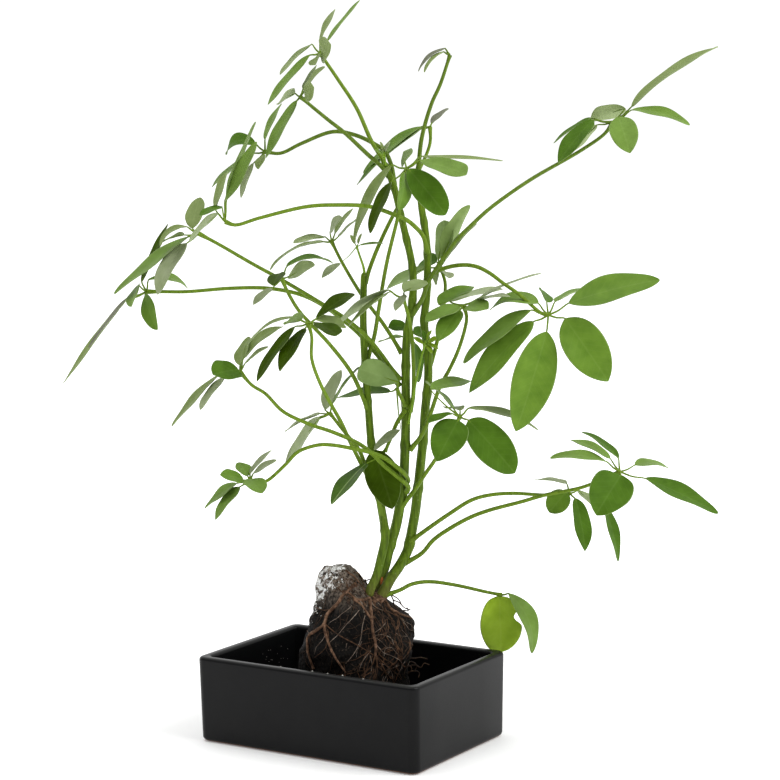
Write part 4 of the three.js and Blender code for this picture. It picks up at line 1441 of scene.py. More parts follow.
@dataclass(frozen=True)
class Sheet:
    """The settled surface of one blade: its midrib line, upper side, width and waviness."""

    root: Vector
    tip: Vector
    upper: Vector
    bow: float
    width: float
    shape: Spot
    phase: float
    bite: Bite | None = None
    fold: float = 0.1
    cup: float = 1.25
    ripple: float = 0.035
    waves: float = 1.6
    lag: float = 2.1
    neck: float = 0.45
    point_half: float = 0.12

    def middle(self, share: float) -> tuple[Vector, Vector]:
        """Follows the midrib.

        Args:
            share: From 0 at the root to 1 at the tip.

        Returns:
            Its point and its direction there.
        """
        guide = self.root.lerp(self.tip, 0.5) + self.upper * (2 * self.bow)
        point = self.root * (1 - share) ** 2 + guide * (2 * share * (1 - share)) + self.tip * share**2
        way = (guide - self.root) * (1 - share) + (self.tip - guide) * share
        return point, way.normalized()

    def half(self, share: float) -> float:
        """Finds half the blade's width.

        Args:
            share: From 0 at the root to 1 at the tip.

        Returns:
            The half width in millimetres.
        """
        rise, fall = self.shape
        peak = rise / (rise + fall)
        top = peak**rise * (1 - peak) ** fall
        share = min(max(share, 0.0), 1.0)
        full = (share**rise * (1 - share) ** fall) / top
        return max(self.width / 2 * full, self.neck * (1 - share) + self.point_half)

    def point(self, aside: float, share: float, lift: float = 0.0) -> Vector:
        """A point of the blade.

        Args:
            aside: From -1 at one edge to 1 at the other.
            share: From 0 at the root to 1 at the tip.
            lift: Distance over the upper side.

        Returns:
            The point in millimetres.
        """
        centre, way = self.middle(share)
        upper = (self.upper - way * self.upper.dot(way)).normalized()
        side = way.cross(upper)
        half = self.half(share)
        if self.bite:
            half *= self.bite.cut(aside, share)
        turn = 2 * math.pi * (self.waves * share + self.phase) + (self.lag if aside < 0 else 0.0)
        rise = 2 * half * self.fold * abs(aside) ** self.cup
        rise += self.width * self.ripple * math.sin(turn) * aside * aside
        return centre + side * (half * aside) + upper * (rise + lift)


@dataclass
class Umbrella:
    """One umbrella leaf: its name, the side its upper faces turn to, its hub, its stalk's places down
    to the stem, and its leaflets. The rest are the sizes that leaves share."""

    name: str
    face: Spot
    hub: Place
    stalk: tuple[Place, ...]
    leaflets: tuple[Leaflet, ...]
    stalk_skin: StemSkin = STALK
    slot: str = "leaf"
    scale: float = 1.0
    thick: float = 0.5
    columns: int = 6
    rows: int = 11
    bite_rows: int = 9
    bow_share: float = 0.03
    root_depth: float = 0.2
    stalk_radii: Spot = (0.98, 1.35)
    hub_swell: Spot = (0.5, 0.03)
    stem_swell: Spot = (0.35, 0.04)
    rib_radii: Spot = (0.62, 0.08)
    rib_sag: float = 0.06
    rib_sink: float = 0.3
    rib_shares: Place = (0.1, 0.22, 0.36)

    @classmethod
    def of(cls, name: str, face: Spot, hub: Place, stalk: tuple[Place, ...], *leaflets: tuple,
           **rest: object) -> Umbrella:
        """The leaf whose leaflets are given as rows of values."""
        return cls(name, face, hub, stalk, tuple(Leaflet(*row) for row in leaflets), **rest)

    def sheet(self, leaflet: Leaflet, index: int) -> Sheet:
        """Works out where one blade lies, with its upper side turned by its own angle.

        Args:
            leaflet: The blade.
            index: Its number round the hub.

        Returns:
            Its surface.
        """
        near = self.hub[2] + (leaflet.tip_near - self.hub[2]) * self.root_depth
        root = SIGHT.place((leaflet.root_across, leaflet.root_up, near))
        tip = SIGHT.place((leaflet.tip_across, leaflet.tip_up, leaflet.tip_near))
        along = (tip - root).normalized()
        view = (SIGHT.eye() - root).normalized()
        open_side = (view - along * view.dot(along)).normalized()
        aside = along.cross(open_side)
        if aside.dot(SIGHT.across() * self.face[0] + Vector((0, 0, self.face[1]))) < 0:
            aside.negate()
        angle = math.radians(leaflet.turn)
        upper = open_side * math.cos(angle) + aside * math.sin(angle)
        bow = self.bow_share * (tip - root).length if leaflet.bow is None else leaflet.bow
        # Steps of the golden section keep neighbours from waving alike
        phase = (index * GOLDEN_STEP + abs(self.hub[0]) * 0.013) % 1
        return Sheet(root, tip, upper, bow, leaflet.width, leaflet.shape, phase, leaflet.bite)

    def blade(self, sheet: Sheet, tone: Tone) -> Piece:
        """Shapes a grid into a blade, with a map along its midrib, and gives it its thickness.

        Args:
            sheet: Its surface.
            tone: How its skin looks.

        Returns:
            The blade.
        """
        deselect()
        rows = self.rows + (self.bite_rows if sheet.bite else 0)
        bpy.ops.mesh.primitive_grid_add(x_subdivisions=self.columns, y_subdivisions=rows, size=2)
        thing = bpy.context.active_object
        mesh = thing.data
        places = {}
        for vertex in mesh.vertices:
            aside, share = vertex.co.x, (vertex.co.y + 1) / 2
            # Rows lie closer together at the root and the tip, where the outline turns most
            share = 0.5 * share + 0.25 * (1 - math.cos(math.pi * share))
            places[vertex.index] = (aside * sheet.half(share), share)
            vertex.co = sheet.point(aside, share) * MM
        length = (sheet.tip - sheet.root).length
        mesh.uv_layers[0].name = LEAFLET_MAP
        for loop, corner in zip(mesh.loops, mesh.uv_layers[LEAFLET_MAP].data):
            offset, share = places[loop.vertex_index]
            corner.uv = (0.5 + offset / LEAFLET_MAP_MM, share * length / LEAFLET_MAP_MM)
        for skin in leaf_skins(tone):
            mesh.materials.append(skin.material())
        # The grid's own upper side is the leaf's only if the side direction agrees
        first = mesh.polygons[len(mesh.polygons) // 2]
        if first.normal.dot(sheet.upper) < 0:
            edit_all(thing, bpy.ops.mesh.flip_normals)
        apply_modifier(thing, "SOLIDIFY", thickness=self.thick * MM, offset=0.0, material_offset=1,
                       material_offset_rim=1)
        return thing

    def ribs(self, sheets: Sequence[Sheet]) -> list[Thread]:
        """Makes each leaflet's own short stalk, which runs on under the blade as its midrib.

        Args:
            sheets: The blades' surfaces.

        Returns:
            The bars.
        """
        hub = SIGHT.place(self.hub)
        start, end = self.rib_radii
        threads = []
        for sheet in sheets:
            sag = (sheet.root - hub).length * self.rib_sag
            halfway = hub.lerp(sheet.root, 0.5) - Vector((0, 0, sag))
            under = [sheet.point(0, share, -self.rib_sink) for share in self.rib_shares]
            points = curve_points([hub, halfway, sheet.root, *under], 1.6)
            shares = [index / (len(points) - 1) for index in range(len(points))]
            radii = [self.scale * (start - (start - end) * share**1.2) for share in shares]
            threads.append(Thread(points, radii))
        return threads

    def main_stalk(self) -> Thread:
        """Makes the long stalk, swollen where it meets the stem and a little at the hub.

        Returns:
            The bar.
        """
        points = [SIGHT.place(place) for place in (self.hub, *self.stalk)]

        def bulge(away: float, size: Spot) -> float:
            """How much a swelling of some height and length adds at a distance from its end."""
            return size[0] * math.exp(-((away / size[1]) ** 2))

        def swell(share: float) -> float:
            """Thickening at both ends."""
            return 1 + bulge(share, self.hub_swell) + bulge(1 - share, self.stem_swell)

        hub_radius, stem_radius = self.stalk_radii
        return tapered(points, hub_radius * self.scale, stem_radius * self.scale, 2.2, swell)

    def build(self) -> Piece:
        """Makes the leaf as one object: stalk, hub, midribs and blades.

        Returns:
            The leaf.
        """
        sheets = [self.sheet(leaflet, index) for index, leaflet in enumerate(self.leaflets)]
        blades = [self.blade(sheet, leaflet.tone) for sheet, leaflet in zip(sheets, self.leaflets)]
        leaves = joined(self.name, blades)
        apply_modifier(leaves, "SUBSURF", levels=1, render_levels=1)
        smooth(leaves)
        stalks = bars("stalks", [self.main_stalk(), *self.ribs(sheets)], self.stalk_skin, 8)
        return finished(joined(f"{self.name}_foliage", [leaves, stalks]), self.slot, self.name)


@dataclass
class Shoot(Umbrella):
    """A young shoot, smaller and thinner than a leaf."""

    stalk_skin: StemSkin = SPROUT
    slot: str = "shoot"
    scale: float = 0.6
    thick: float = 0.4
    columns: int = 4
    rows: int = 6


# The rows after a stalk are its leaflets, in the order of a Leaflet's fields
LEAVES: tuple[Umbrella, ...] = (
    Umbrella.of(
        "leaf_top_left_1", (-0.6, 0.8), (-42, 202, -10),
        ((-31, 186, -8), (-20, 169, -5), (-11, 149, -2), (-5.5, 140, -1), (-2, 133, 0)),
        (MID, -38, 209, -18, 234, -15, 9, 78, 0),
        (SAGE, -42, 210, -33.5, 228, -36, 9, 68, 0, BLUNT),
        (SAGE, -41, 201, -35.5, 207.5, 18, 15, 42, None, OVAL),
        (SAGE, -44, 200, -45, 195, 8, 9, 50),
        (MID, -48, 201, -73.5, 171, -5, 12, 68, 0.5),
        (SAGE, -47, 207.5, -66, 189, -22, 11, 104),
    ),
    Umbrella.of(
        "leaf_top_left_2", (-0.7, 0.7), (-54, 176, 4),
        ((-37, 162, 5), (-28, 155, 5), (-13, 141, 4), (-5, 134, 2.5), (-0.5, 128, 0)),
        (SAGE, -52, 181, -44, 195, -22, 7, 72, 0),
        (SAGE, -50.5, 181, -39, 194, 24, 8, 72, 1),
        (SAGE, -51, 175.5, -45.5, 181.5, 28, 12, 40, None, BLUNT),
        (GREY, -57, 178, -67, 172, 26, 12, 110),
        (MID, -56, 173.5, -74.5, 139, 14, 12, 60, 0.5),
        stalk_skin=OLIVE,
    ),
    Umbrella.of(
        "leaf_top_left_3", (-0.6, 0.8), (-75, 143, -8),
        ((-66, 142, -8), (-53, 148, -8), (-34, 155, -8), (-21, 153, -8), (-10, 148, -8), (-3, 143, -6),
         (1, 134, -4), (2.5, 123, -1)),
        (MID, -75, 150.5, -65, 172, -24, 9, 68),
        (DEEP, -81, 148, -98, 141, -16, 14, 62, 6),
        (DEEP, -82, 142, -107, 121.5, -12, 10, 106),
        (GREY, -82, 136, -89.5, 115, -4, 8, 62),
        (SAGE, -76, 141, -79, 132.5, 5, 7, 45),
        stalk_skin=OLIVE,
    ),
    Umbrella.of(
        "leaf_upper_left_1", (-0.7, 0.7), (-99, 101, 22),
        ((-93, 99, 22), (-79, 103, 20), (-50, 110, 18), (-32, 111, 16), (-12, 110, 14), (3, 105, 12),
         (10, 102, 9), (15, 98, 6), (20, 92, 1), (22.5, 82, -3)),
        (MID, -98, 114, -80, 149, 16, 14, 56, 0),
        (MID, -99, 114, -80.5, 161, 2, 11, 105, 0),
        (DEEP, -101, 110, -114, 104.5, 44, 8, 62),
        (GREY, -103, 106, -120.5, 89, 36, 11, 110),
        (SAGE, -105, 109, -97.5, 131, 34, 9, 60),
    ),
    Umbrella.of(
        "leaf_upper_left_2", (-0.8, 0.6), (-115, 94, 12),
        ((-102, 87, 12), (-83, 76, 11), (-63, 65, 10), (-38, 50, 9), (-27, 43, 8), (-14, 32, 7),
         (-5, 21, 5), (0, 14, 3), (6, 6, 1)),
        (SAGE, -118.5, 97, -114, 115.5, -12, 12, 30),
        (SAGE, -122, 98, -138, 86, 16, 8, 66, 4),
        (DARK, -124, 93, -136, 89, 34, 9, 100),
        (MID, -121, 92, -165.5, 57.5, 10, 18, 71, 0.5),
        (GREY, -122, 88, -139.5, 57, 28, 15, 52, 3),
    ),
    Umbrella.of(
        "leaf_far_left", (-0.6, 0.8), (-146, 59, 0),
        ((-137, 59, 0), (-122, 59, 0), (-96, 61, 0), (-73, 61, 0), (-53, 57, 0), (-39, 50, 0),
         (-27, 41, -2), (-19, 34, -4), (-11, 25, -4), (-3, 15, -3), (6, 2, -1)),
        (DUSK, -157, 56, -181, 25, 14, 10, 80, 0),
        (SAGE, -159, 54, -196, 4, -2, 11, 74, 0),
        (FRESH, -147, 57, -139.5, 36, 24, 12, 42),
        (MID, -145, 66, -121.5, 61, -14, 11, 67, 4, BLUNT),
        (MID, -151, 63, -155, 50, 24, 12, 65),
        (DARK, -149, 65, -133, 100, -12, 9, 64, 0),
    ),
    Umbrella.of(
        "leaf_mid_left_1", (0, 1), (-65, 67, 24),
        ((-62, 60, 24), (-55, 48, 22), (-47, 39, 19), (-35, 26, 15), (-23, 10, 10), (-16, -5, 6),
         (-13, -13, 3)),
        (DARK, -66, 70, -70, 62.5, 46, 11, 42),
        (GREY, -71, 61, -82, 51, 36, 8, 58),
        (SAGE, -61, 68, -45, 75, 6, 13, 125),
        (DEEP, -62, 74, -34, 76, 14, 14, 80, 4),
    ),
    Umbrella.of(
        "leaf_mid_left_2", (-0.3, 0.9), (-49, 40, 40),
        ((-47, 32, 39), (-47, 19, 36), (-41, 2, 30), (-29, -20, 21), (-24, -31, 18), (-18, -43, 14),
         (-9.5, -60, 10), (-4, -77, 7)),
        (SAGE, -57, 44, -86, 26, 36, 9, 84, 4),
        (DARK, -57, 38, -80, 5, 58, 12, 62),
        (DARK, -51, 37, -66, 11, 64, 15, 58),
        (DEEP, -53, 42, -62, 41, 66, 12, 120),
        (DARK, -45, 40.5, -32, 32.5, 62, 14, 56, None, BLUNT),
        (SAGE, -45, 42.5, -27, 38.5, 26, 12, 62, None, BLUNT),
        (DARK, -44, 43, -22, 58, 22, 14, 58, None, BLUNT),
    ),
    Umbrella.of(
        "leaf_inner_left", (-0.3, 0.9), (-35, 89, -16),
        ((-29, 77, -14), (-17, 57, -12), (-5, 41, -8), (1, 32, -4), (7, 22, -1)),
        (SAGE, -39, 92, -58, 88, -30, 11, 110),
        (SAGE, -40, 89, -72, 72, -8, 14, 88, 4),
        (GREY, -36, 95, -29, 104, 0, 9, 60),
        (SAGE, -33, 94, -22, 109, -30, 7, 68),
        (GREY, -31, 92, -17, 104, -26, 9, 88),
    ),
    Umbrella.of(
        "leaf_mid_left_3", (-0.5, 0.9), (-90, 11, 26),
        ((-83, 3, 26), (-75, -2, 25), (-64, -13, 25), (-47, -21, 26), (-35, -25, 26), (-19, -32, 24),
         (-12, -37, 23), (-4, -45, 21), (2, -50, 20), (7, -54, 19), (11, -58, 12), (10, -61, 3)),
        (DEEP, -91, 12, -106, 9, 46, 18, 44, None, OVAL),
        (SAGE, -103, 9, -131, -22, 34, 14, 74, 0.5),
        (GREY, -99, 8, -114, -12, 46, 11, 66),
        (SAGE, -90, 15, -84.5, 32, 12, 14, 62),
        (SAGE, -88, 19, -64, 38, 16, 13, 66, 3),
        (SAGE, -87, 16, -73, 26, 40, 8, 76),
    ),
    Umbrella.of(
        "leaf_low_left_1", (-0.4, 0.9), (-84, -54, 34),
        ((-78, -56, 34), (-73, -54, 33), (-63, -45, 32), (-55, -37, 32), (-43, -33, 32),
         (-35, -33, 31), (-23, -35, 30), (-10, -38, 28), (-3, -41, 25), (4, -46, 23), (8.5, -50, 20),
         (11, -54, 10), (9.5, -56, 2)),
        (FRESH, -88, -54, -102, -51, 46, 11, 50),
        (MID, -85.5, -51.5, -91, -43.5, 24, 10, 36),
        (GREY, -84, -50, -71, -36, 22, 7, 66),
        (GREY, -82, -50, -68, -42, 42, 7, 60),
        (MID, -92, -56, -111, -71, 34, 13, 68, None, LANCE),
        (MID, -90, -58, -105, -78, 46, 14, 64, None, LANCE),
        (MID, -85, -53.5, -76.5, -62, 52, 14, 40),
    ),
    Umbrella.of(
        "leaf_low_left_2", (-0.2, 1), (-36, -14, 12),
        ((-29, -23, 12), (-24, -29, 11), (-18, -37, 10), (-14, -48, 8), (-8, -60, 6)),
        (GREY, -39, -12, -29, 12, 6, 14, 55),
        (DEEP, -35, -9, -18, 14, -4, 13, 88),
        (GREY, -42, -14, -63, -25, 12, 13, 86),
        (GREY, -42, -16, -60, -43, 22, 14, 115),
        (GREY, -42, -17, -63, -44, 4, 13, 75),
    ),
    Umbrella.of(
        "leaf_inner_front", (-0.2, 1), (4, 1, 10),
        ((6, -3, 8), (9, -9, 2)),
        (DEEP, 5, 4.5, -19, 13, 20, 17, 165, None, BLUNT),
        (DEEP, 0, -1, -32, -5, -24, 14, 70),
        (GREY, 6, -24, -9.5, -36, 12, 10, 60),
    ),
    Umbrella.of(
        "leaf_low_front", (-0.2, 0.9), (-3, -37, 8),
        ((0, -30, 8), (4, -20, 6), (9, -12, 2)),
        (DARK, -10, -36, 1.5, -71.5, 17, 21, 8),
        (STRIPED, -14, -44, -35, -69, 42, 16, 58),
    ),
    Umbrella.of(
        "leaf_upper_front", (0.2, 0.9), (10, 133, 22),
        ((9, 124, 20), (4.5, 103, 16), (-2, 76, 7), (-7, 47, 2), (-9.5, 32, 0), (-14, 17, 1)),
        (DEEP, 11, 132.5, 33.5, 105, 36, 17.5, 16, None, (0.6, 0.52)),
        (DEEP, 9, 137, 8, 143, -4, 13, 130),
        (DARK, 1, 125, -12, 94, 30, 13, 60),
        (FRESH, 9, 130, 5, 108, 40, 14, 55),
        (SAGE, 1, 135, -21.5, 88, -14, 11, 58, 4),
        (SAGE, 18, 140, 68, 137.5, 26, 6, 72, 0.5),
        (MID, 18, 138, 46, 129, 44, 16, 52, 0.5, BLUNT),
    ),
    Umbrella.of(
        "leaf_upper_back", (0, 1), (24, 158, -14),
        ((24, 148, -14), (17, 131, -12), (9, 117, -10), (1.5, 104, -8), (-7.5, 85, -4),
         (-12.5, 72, -2), (-15, 64, 1)),
        (DUSK, 25, 160, 35, 169, -30, 8, 66),
        (FRESH, 19, 158, -16, 130, -32, 14, 70, 2),
        (DEEP, 19, 157, -20, 123, -24, 15, 80),
    ),
    Umbrella.of(
        "leaf_top_sprout", (-0.2, 1), (36, 201, -8),
        ((30, 183, -7), (25, 172, -6), (19, 151, -5), (17, 132, -5)),
        (DUSK, 33, 205, 17, 191, -8, 6, 72, 2.5),
        (SAGE, 32, 203, 20.5, 190.5, 0, 5, 66, 2),
        stalk_skin=OLIVE,
    ),
    Umbrella.of(
        "leaf_far_right_top", (0.2, 1), (134, 161, -18),
        ((129, 154, -18), (115, 144, -15), (84, 126, -8), (60, 109, -2), (49, 99, 2), (41, 91, 4),
         (28, 73, 6), (23, 65, 5), (19, 54, 4), (13, 45, 1)),
        (SAGE, 145, 170, 197, 206, -24, 18, 75, 3),
        (MID, 145, 168, 180, 159, -2, 14, 66, 2.5),
        (MID, 137, 164, 144, 142, 4, 17, 10),
        (SAGE, 141, 169, 120.5, 161, -38, 16, 128),
        (DEEP, 122, 162, 101, 136, -4, 16, 50),
        (SAGE, 124, 159, 110, 143, -24, 13, 120),
        (DEEP, 121, 163, 98, 148, -32, 11, 80),
        stalk_skin=OLIVE,
    ),
    Umbrella.of(
        "leaf_right_big", (0.3, 0.9), (95, 45, 34),
        ((91, 46, 33), (78, 57, 28), (68, 64, 23), (60, 70, 18), (52, 74, 12), (44, 75, 6),
         (36, 74, 1), (30, 72, -2), (23, 68, -4)),
        (FRESH, 107, 52, 162, 66, 40, 22, 45),
        (FRESH, 105, 43, 131, 5, 48, 25, 8),
        (FRESH, 94, 35, 75.5, -25, 50, 25, 12),
        (FRESH, 86, 41, 47.5, -2, 38, 21, 47),
        (MID, 85, 48, 44, 16, 26, 19, 62),
        (MID, 89, 52, 60, 48, 14, 15, 66, 5),
        (DEEP, 94, 53, 91, 60, 2, 10, 60),
        (FRESH, 99, 53, 122, 62, 12, 15, 84),
    ),
    Umbrella.of(
        "leaf_inner_right", (0, 1), (44, 51, 16),
        ((46, 44, 16), (45, 37, 15), (41, 24, 13), (36, 13, 11), (30, 2, 8), (24, -15, 4),
         (19, -27, 3), (12, -36, 1)),
        (MID, 46, 50, 59, 48.5, 36, 14, 54),
        (MID, 42, 50, 21, 41, 30, 13, 56),
        (FRESH, 42, 48, 29, 29, 36, 14, 35),
        (FRESH, 29, 51.5, 50.5, 62, -4, 15, 60),
        (GREY, 36, 53, 68, 60.5, -12, 10, 112),
        (GREY, 53, 55, 91, 70, 6, 10, 86),
        (GREY, 52, 54, 72, 56, 32, 12, 84),
    ),
    Umbrella.of(
        "leaf_inner_middle", (-0.3, 0.9), (8, 55, 12),
        ((9.5, 50, 10), (11.5, 42, 8), (13, 33, 6), (13.8, 22, 5), (14.3, 8, 4), (13.8, -5, 3),
         (12, -13, 1.5)),
        (GREY, -1, 60, -33, 38, 16, 13, 112),
        (SAGE, 0, 59, -25, 38, 28, 12, 80),
        (SAGE, 8.5, 59, 22, 65, 30, 13, 125),
        (GREY, 9, 57, 3.3, 47.5, 28, 7, 45),
    ),
    Umbrella.of(
        "leaf_inner_hidden", (0, 1), (11, 33, -14),
        ((11, 24, -12), (10.5, 14, -8), (10, 2, -2)),
        (DEEP, 10, 38, -1, 37.5, -9.5, 12, 52),
        (MID, 7, 32, -7, 28.5, -24, 11, 86),
        (DEEP, 14, 34, 23.5, 32.5, -24, 12, 52),
        (DEEP, 15, 28, 17, 4.5, -16, 12, 62),
    ),
    Umbrella.of(
        "leaf_inner_back", (0.2, 1), (30, 74, -22),
        ((33, 65, -21), (33, 58, -19), (31, 42, -15), (27, 24, -10), (23, 10, -5)),
        (MID, 29, 78, 32.5, 102, -30, 16, 135, None, BLUNT),
        (FRESH, 31, 80, 48, 111, -26, 17, 122),
        (GREY, 33, 78, 52, 100, -16, 13, 75),
        (DEEP, 28, 77, 17, 74.5, -38, 14, 55),
        (MID, 22, 73.5, -2, 60.5, -26, 13, 118),
        (GREY, 33, 71, 36, 67, -10, 8, 50),
        (DARK, 29, 71, 27, 64, -12, 9, 120),
    ),
    Umbrella.of(
        "leaf_mid_right", (0.2, 0.9), (42, -16, 40),
        ((35, -30, 30), (27, -42, 21), (20, -52, 12), (14, -61, 5), (7, -70, 1)),
        (DEEP, 41, -18, 28, -43, 60, 21, 10, None, (0.5, 0.75)),
        (DEEP, 47, -18, 75, -50, 52, 22, 12, None, OVAL),
        (DEEP, 37, -14, 23, -20, 52, 12, 70),
        (SAGE, 42, -12, 34, -11, 18, 12, 80),
        (SAGE, 47, -11, 89, -24, 36, 14, 74, 3),
        (MID, 38, -11, 21, 5, 14, 13, 86),
        (MID, 24.5, 0.5, 48.5, 5.5, 12, 13, 58),
    ),
    Umbrella.of(
        "leaf_low_right_1", (0.2, 0.95), (138, -49, 42),
        ((122, -56, 36), (113, -59, 33), (93, -63, 27), (79, -67, 21), (60, -72, 14), (49, -76, 10),
         (36, -83, 6), (26, -90, 3), (19, -98, 0), (7, -105, -2)),
        (DEEP, 138.5, -51, 123.5, -75, 66, 25, 5, None, (0.42, 0.64)),
        (DEEP, 153, -53, 197, -74, 48, 20, 63, 0.5),
        (MID, 147, -45, 167, -47, 20, 11, 70, 2),
        (DEEP, 137, -41, 115, -25, 14, 11, 70, 1.5),
        (MID, 132, -41, 108, -30, 30, 11, 66, 1.5),
        (MID, 130, -43, 96, -41, 48, 13, 66, 2.5),
        (DEEP, 128, -68, 137, -103, 46, 13, 62),
    ),
    Umbrella.of(
        "leaf_low_right_2", (0.1, 1), (108, -62, 16),
        ((93, -63, 14), (74, -62, 13), (60, -63, 12), (49, -66, 10), (36, -74, 7), (23, -83, 2),
         (12, -91, -2)),
        (FRESH, 106, -61, 95.5, -73.5, 21, 14, 10, None, OVAL),
        (DEEP, 111, -65, 117, -97, 24, 15, 47),
        (GREY, 106, -56, 87, -54, 2, 12, 82),
        (SAGE, 113, -60, 121, -69, 0, 10, 120),
    ),
    Umbrella.of(
        "leaf_lowest_right", (0.7, 0.7), (67, -123, -12),
        ((57, -121, -11), (39, -117, -8), (23, -115, -4), (13, -116.5, 0), (6, -120, 4), (-2.5, -123, 6)),
        (YOUNG, 65.5, -123.5, 66.5, -157.5, -14, 26, 12, None, (0.42, 0.5), Bite(-1, 0.38, 0.09, 0.38)),
        (MID, 71, -122, 85, -158, -8, 15, 48, 7),
    ),
    Shoot.of(
        "shoot_left_tip", (-0.3, 1), (-20, 86, 3),
        ((-18, 80, 3), (-16, 74, 3), (-15, 68, 2)),
        (SAGE, -21, 88, -24, 93, 8, 3.5, 40),
        (SAGE, -19, 88, -17, 94, -2, 3.5, 60),
        (FRESH, -18, 87, -4, 88, 6, 4, 70),
        (GREY, -30, 76, -41, 67, 8, 9, 60),
    ),
    Shoot.of(
        "shoot_middle_tip", (0, 1), (-3.5, 141, 5),
        ((-3.2, 139, 3.5), (-3, 135, 1)),
        (FRESH, -5, 142, -9, 144, 9, 3.5, 60),
        (GREY, -3, 143, 0, 149, 8, 3.5, 60),
        (SAGE, -4, 143, -6, 149, 6, 3.5, 60),
    ),
    Shoot.of(
        "shoot_right_tuft", (0.2, 1), (21, 28, 9),
        ((17.5, 14, 8), (15, 2, 7), (13, -10, 5), (11, -20, 2)),
        (DEEP, 21, 30, 19, 36, 12, 4, 40),
        (YOUNG, 22, 30, 25, 36, 6, 4, 60),
        (YOUNG, 23, 29, 29, 31, 14, 5, 50),
        (YOUNG, 20, 28, 14, 31.5, 11, 4, 45),
        (YOUNG, 22.5, 28, 29, 24.5, 15, 4, 50),
        (YOUNG, 22, 27, 25, 22, 18, 4, 40),
    ),
)


# Small things and the stage


@dataclass
class Crumbs:
    """Pale crumbs on the rim and on the inside of the left wall, and grit on the tray's floor: places
    or ranges of places in millimetres, and the ranges of their sizes."""

    rim: tuple[Place, ...] = ((-18.0, -47.4, 51.0), (4.0, -47.2, 51.0), (15.0, -47.6, 51.0),
                              (25.0, -47.2, 51.0), (40.0, -48.6, 51.1))
    rim_size: float = 0.42
    wall: tuple[float, Spot, Spot] = (-70.2, (8, 36), (32, 42))
    wall_sizes: Spot = (0.13, 0.27)
    wall_seeds: range = range(20, 36)
    floor_half: Spot = (66, 40)
    floor_sizes: Spot = (0.3, 0.6)
    floor_seeds: range = range(50, 70)

    def grain_at(self, place: Place, size: float, seed: int) -> Piece:
        """Shapes one broken grain from a small ball.

        Args:
            place: Its centre in millimetres.
            size: Its radius.
            seed: Number that gives it a form of its own.

        Returns:
            The grain.
        """
        deselect()
        bpy.ops.mesh.primitive_ico_sphere_add(subdivisions=2, radius=size * MM,
                                              location=[value * MM for value in place])
        thing = bpy.context.active_object
        bpy.ops.object.transform_apply(location=True, rotation=True, scale=True)
        centre = Vector(place) * MM
        for vertex in thing.data.vertices:
            way = vertex.co - centre
            dent = noise.noise(way / (size * MM) * 1.3 + Vector((seed, 0, 0)))
            vertex.co = centre + way * (1 + 0.45 * dent)
        thing.data.materials.append(CRUMB.material())
        return thing

    def build(self) -> Piece:
        """Scatters the crumbs and the grit, always in the same way.

        Returns:
            All of them as one piece.
        """
        chance = random.Random(5)
        grains = [self.grain_at(place, self.rim_size * chance.uniform(0.7, 1.2), seed)
                  for seed, place in enumerate(self.rim)]
        wall, along, up = self.wall
        for seed in self.wall_seeds:
            place = (wall, chance.uniform(*along), chance.uniform(*up))
            grains.append(self.grain_at(place, chance.uniform(*self.wall_sizes), seed))
        half_x, half_y = self.floor_half
        for seed in self.floor_seeds:
            place = (chance.uniform(-half_x, half_x), chance.uniform(-half_y, half_y), TRAY_FLOOR + 0.2)
            grains.append(self.grain_at(place, chance.uniform(*self.floor_sizes), seed))
        thing = joined("grit_and_crumbs", grains)
        smooth(thing, 40)
        return finished(thing, "lava")


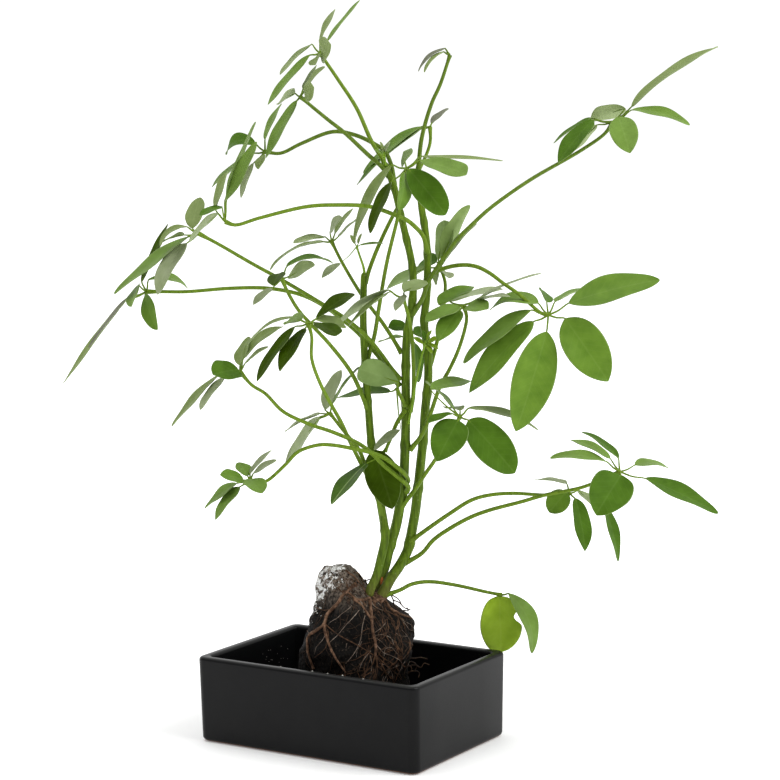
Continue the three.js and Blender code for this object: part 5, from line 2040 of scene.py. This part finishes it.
@dataclass
class Stage:
    """The white table and the soft studio light, in metres and watts. Each lamp has its name, its place
    across, near and up, the length of its side and its power."""

    floor_half: float = 6.0
    floor_drop: float = 0.0002
    shadow_reach: Spot = (0.09, 0.5)
    glow: Spot = (0.15, 0.7)
    sky: Spot = (0.34, 1.1)
    aim_up: float = 0.2
    lamps: tuple[tuple[str, Place, float, float], ...] = (
        ("key", (1.5, 0.7, 1.7), 1.2, 30.0), ("top", (-0.6, 0.2, 2.4), 1.6, 20.0),
    )

    def floor(self) -> None:
        """Lays a wide white table top."""
        deselect()
        bpy.ops.mesh.primitive_plane_add(size=2 * self.floor_half, location=(0, 0, -self.floor_drop))
        thing = bpy.context.active_object
        thing.name = "white_table"
        material = fresh_material("white_table_top")
        add = partial(add_node, material.node_tree)
        # The table glows, a painted light that keeps it white further out; the glow is weaker near the tray,
        # which leaves the floor round it darker, so that only the tray's own soft shadow shows
        away = add("VectorMath", "Value", operation="LENGTH", i0=add("TexCoord", "Object"))
        glow = add("MapRange", **SOFT, Value=away, From_Min=self.shadow_reach[0],
                   From_Max=self.shadow_reach[1], To_Min=self.glow[0], To_Max=self.glow[1])
        shader = add("BsdfPrincipled", Base_Color=linear("f6f6f6"), Roughness=0.9, Specular_IOR_Level=0.0,
                     Emission_Color=linear("ffffff"), Emission_Strength=glow)
        add("OutputMaterial", Surface=shader)
        thing.data.materials.append(material)

    def lamp(self, name: str, place: Vector, size: float, power: float) -> None:
        """Adds a soft square lamp that points at the plant.

        Args:
            name: Its name.
            place: Where it hangs.
            size: Length of its side.
            power: Its power in watts.
        """
        data = bpy.data.lights.new(name, "AREA")
        data.shape = "SQUARE"
        data.size = size
        data.energy = power
        lamp = bpy.data.objects.new(name, data)
        bpy.context.scene.collection.objects.link(lamp)
        lamp.location = place
        lamp.rotation_euler = (Vector((0, 0, self.aim_up)) - place).to_track_quat("-Z", "Y").to_euler()

    def build(self) -> None:
        """Sets the sky, lays the table and hangs the lamps."""
        world = bpy.data.worlds.new("white_studio")
        world.use_nodes = True
        add = partial(add_node, world.node_tree)
        # The lit backdrop is bright, the room on the eye's side is dim, and what is seen is white
        behind = add("VectorMath", "Value", operation="DOT_PRODUCT", i0=add("TexCoord", "Generated"),
                     i1=tuple(-SIGHT.near()))
        sky = add("MapRange", **SOFT, Value=behind, From_Min=-0.7, From_Max=0.7, To_Min=self.sky[0],
                  To_Max=self.sky[1])
        level = add("Math", operation="MAXIMUM", i0=sky, i1=add("LightPath", "Is Camera Ray"))
        background = world.node_tree.nodes["Background"]
        world.node_tree.links.new(level, background.inputs["Strength"])
        background.inputs["Color"].default_value = linear("ffffff")
        bpy.context.scene.world = world
        bpy.context.scene.view_settings.view_transform = "Standard"
        self.floor()
        for name, (across, near, up), size, power in self.lamps:
            place = SIGHT.across() * across + SIGHT.near() * near + Vector((0, 0, up))
            self.lamp(name, place, size, power)


def main() -> None:
    """Builds the plant in order, from the table up, reports each piece and notes the size of all."""
    logging.basicConfig(level=logging.INFO, format="%(message)s")
    SIGHT.camera()
    Stage().build()
    pieces = [Tray().build(), ROCK.build(), *Roots().build()]
    pieces += [part.build() for part in (*STEMS, *LEAVES)]
    pieces.append(Crumbs().build())
    for piece in pieces:
        LOG.info("%s: %d faces", piece.name, len(piece.data.polygons))
    deselect()
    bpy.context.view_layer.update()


if __name__ == "__main__":
    main()
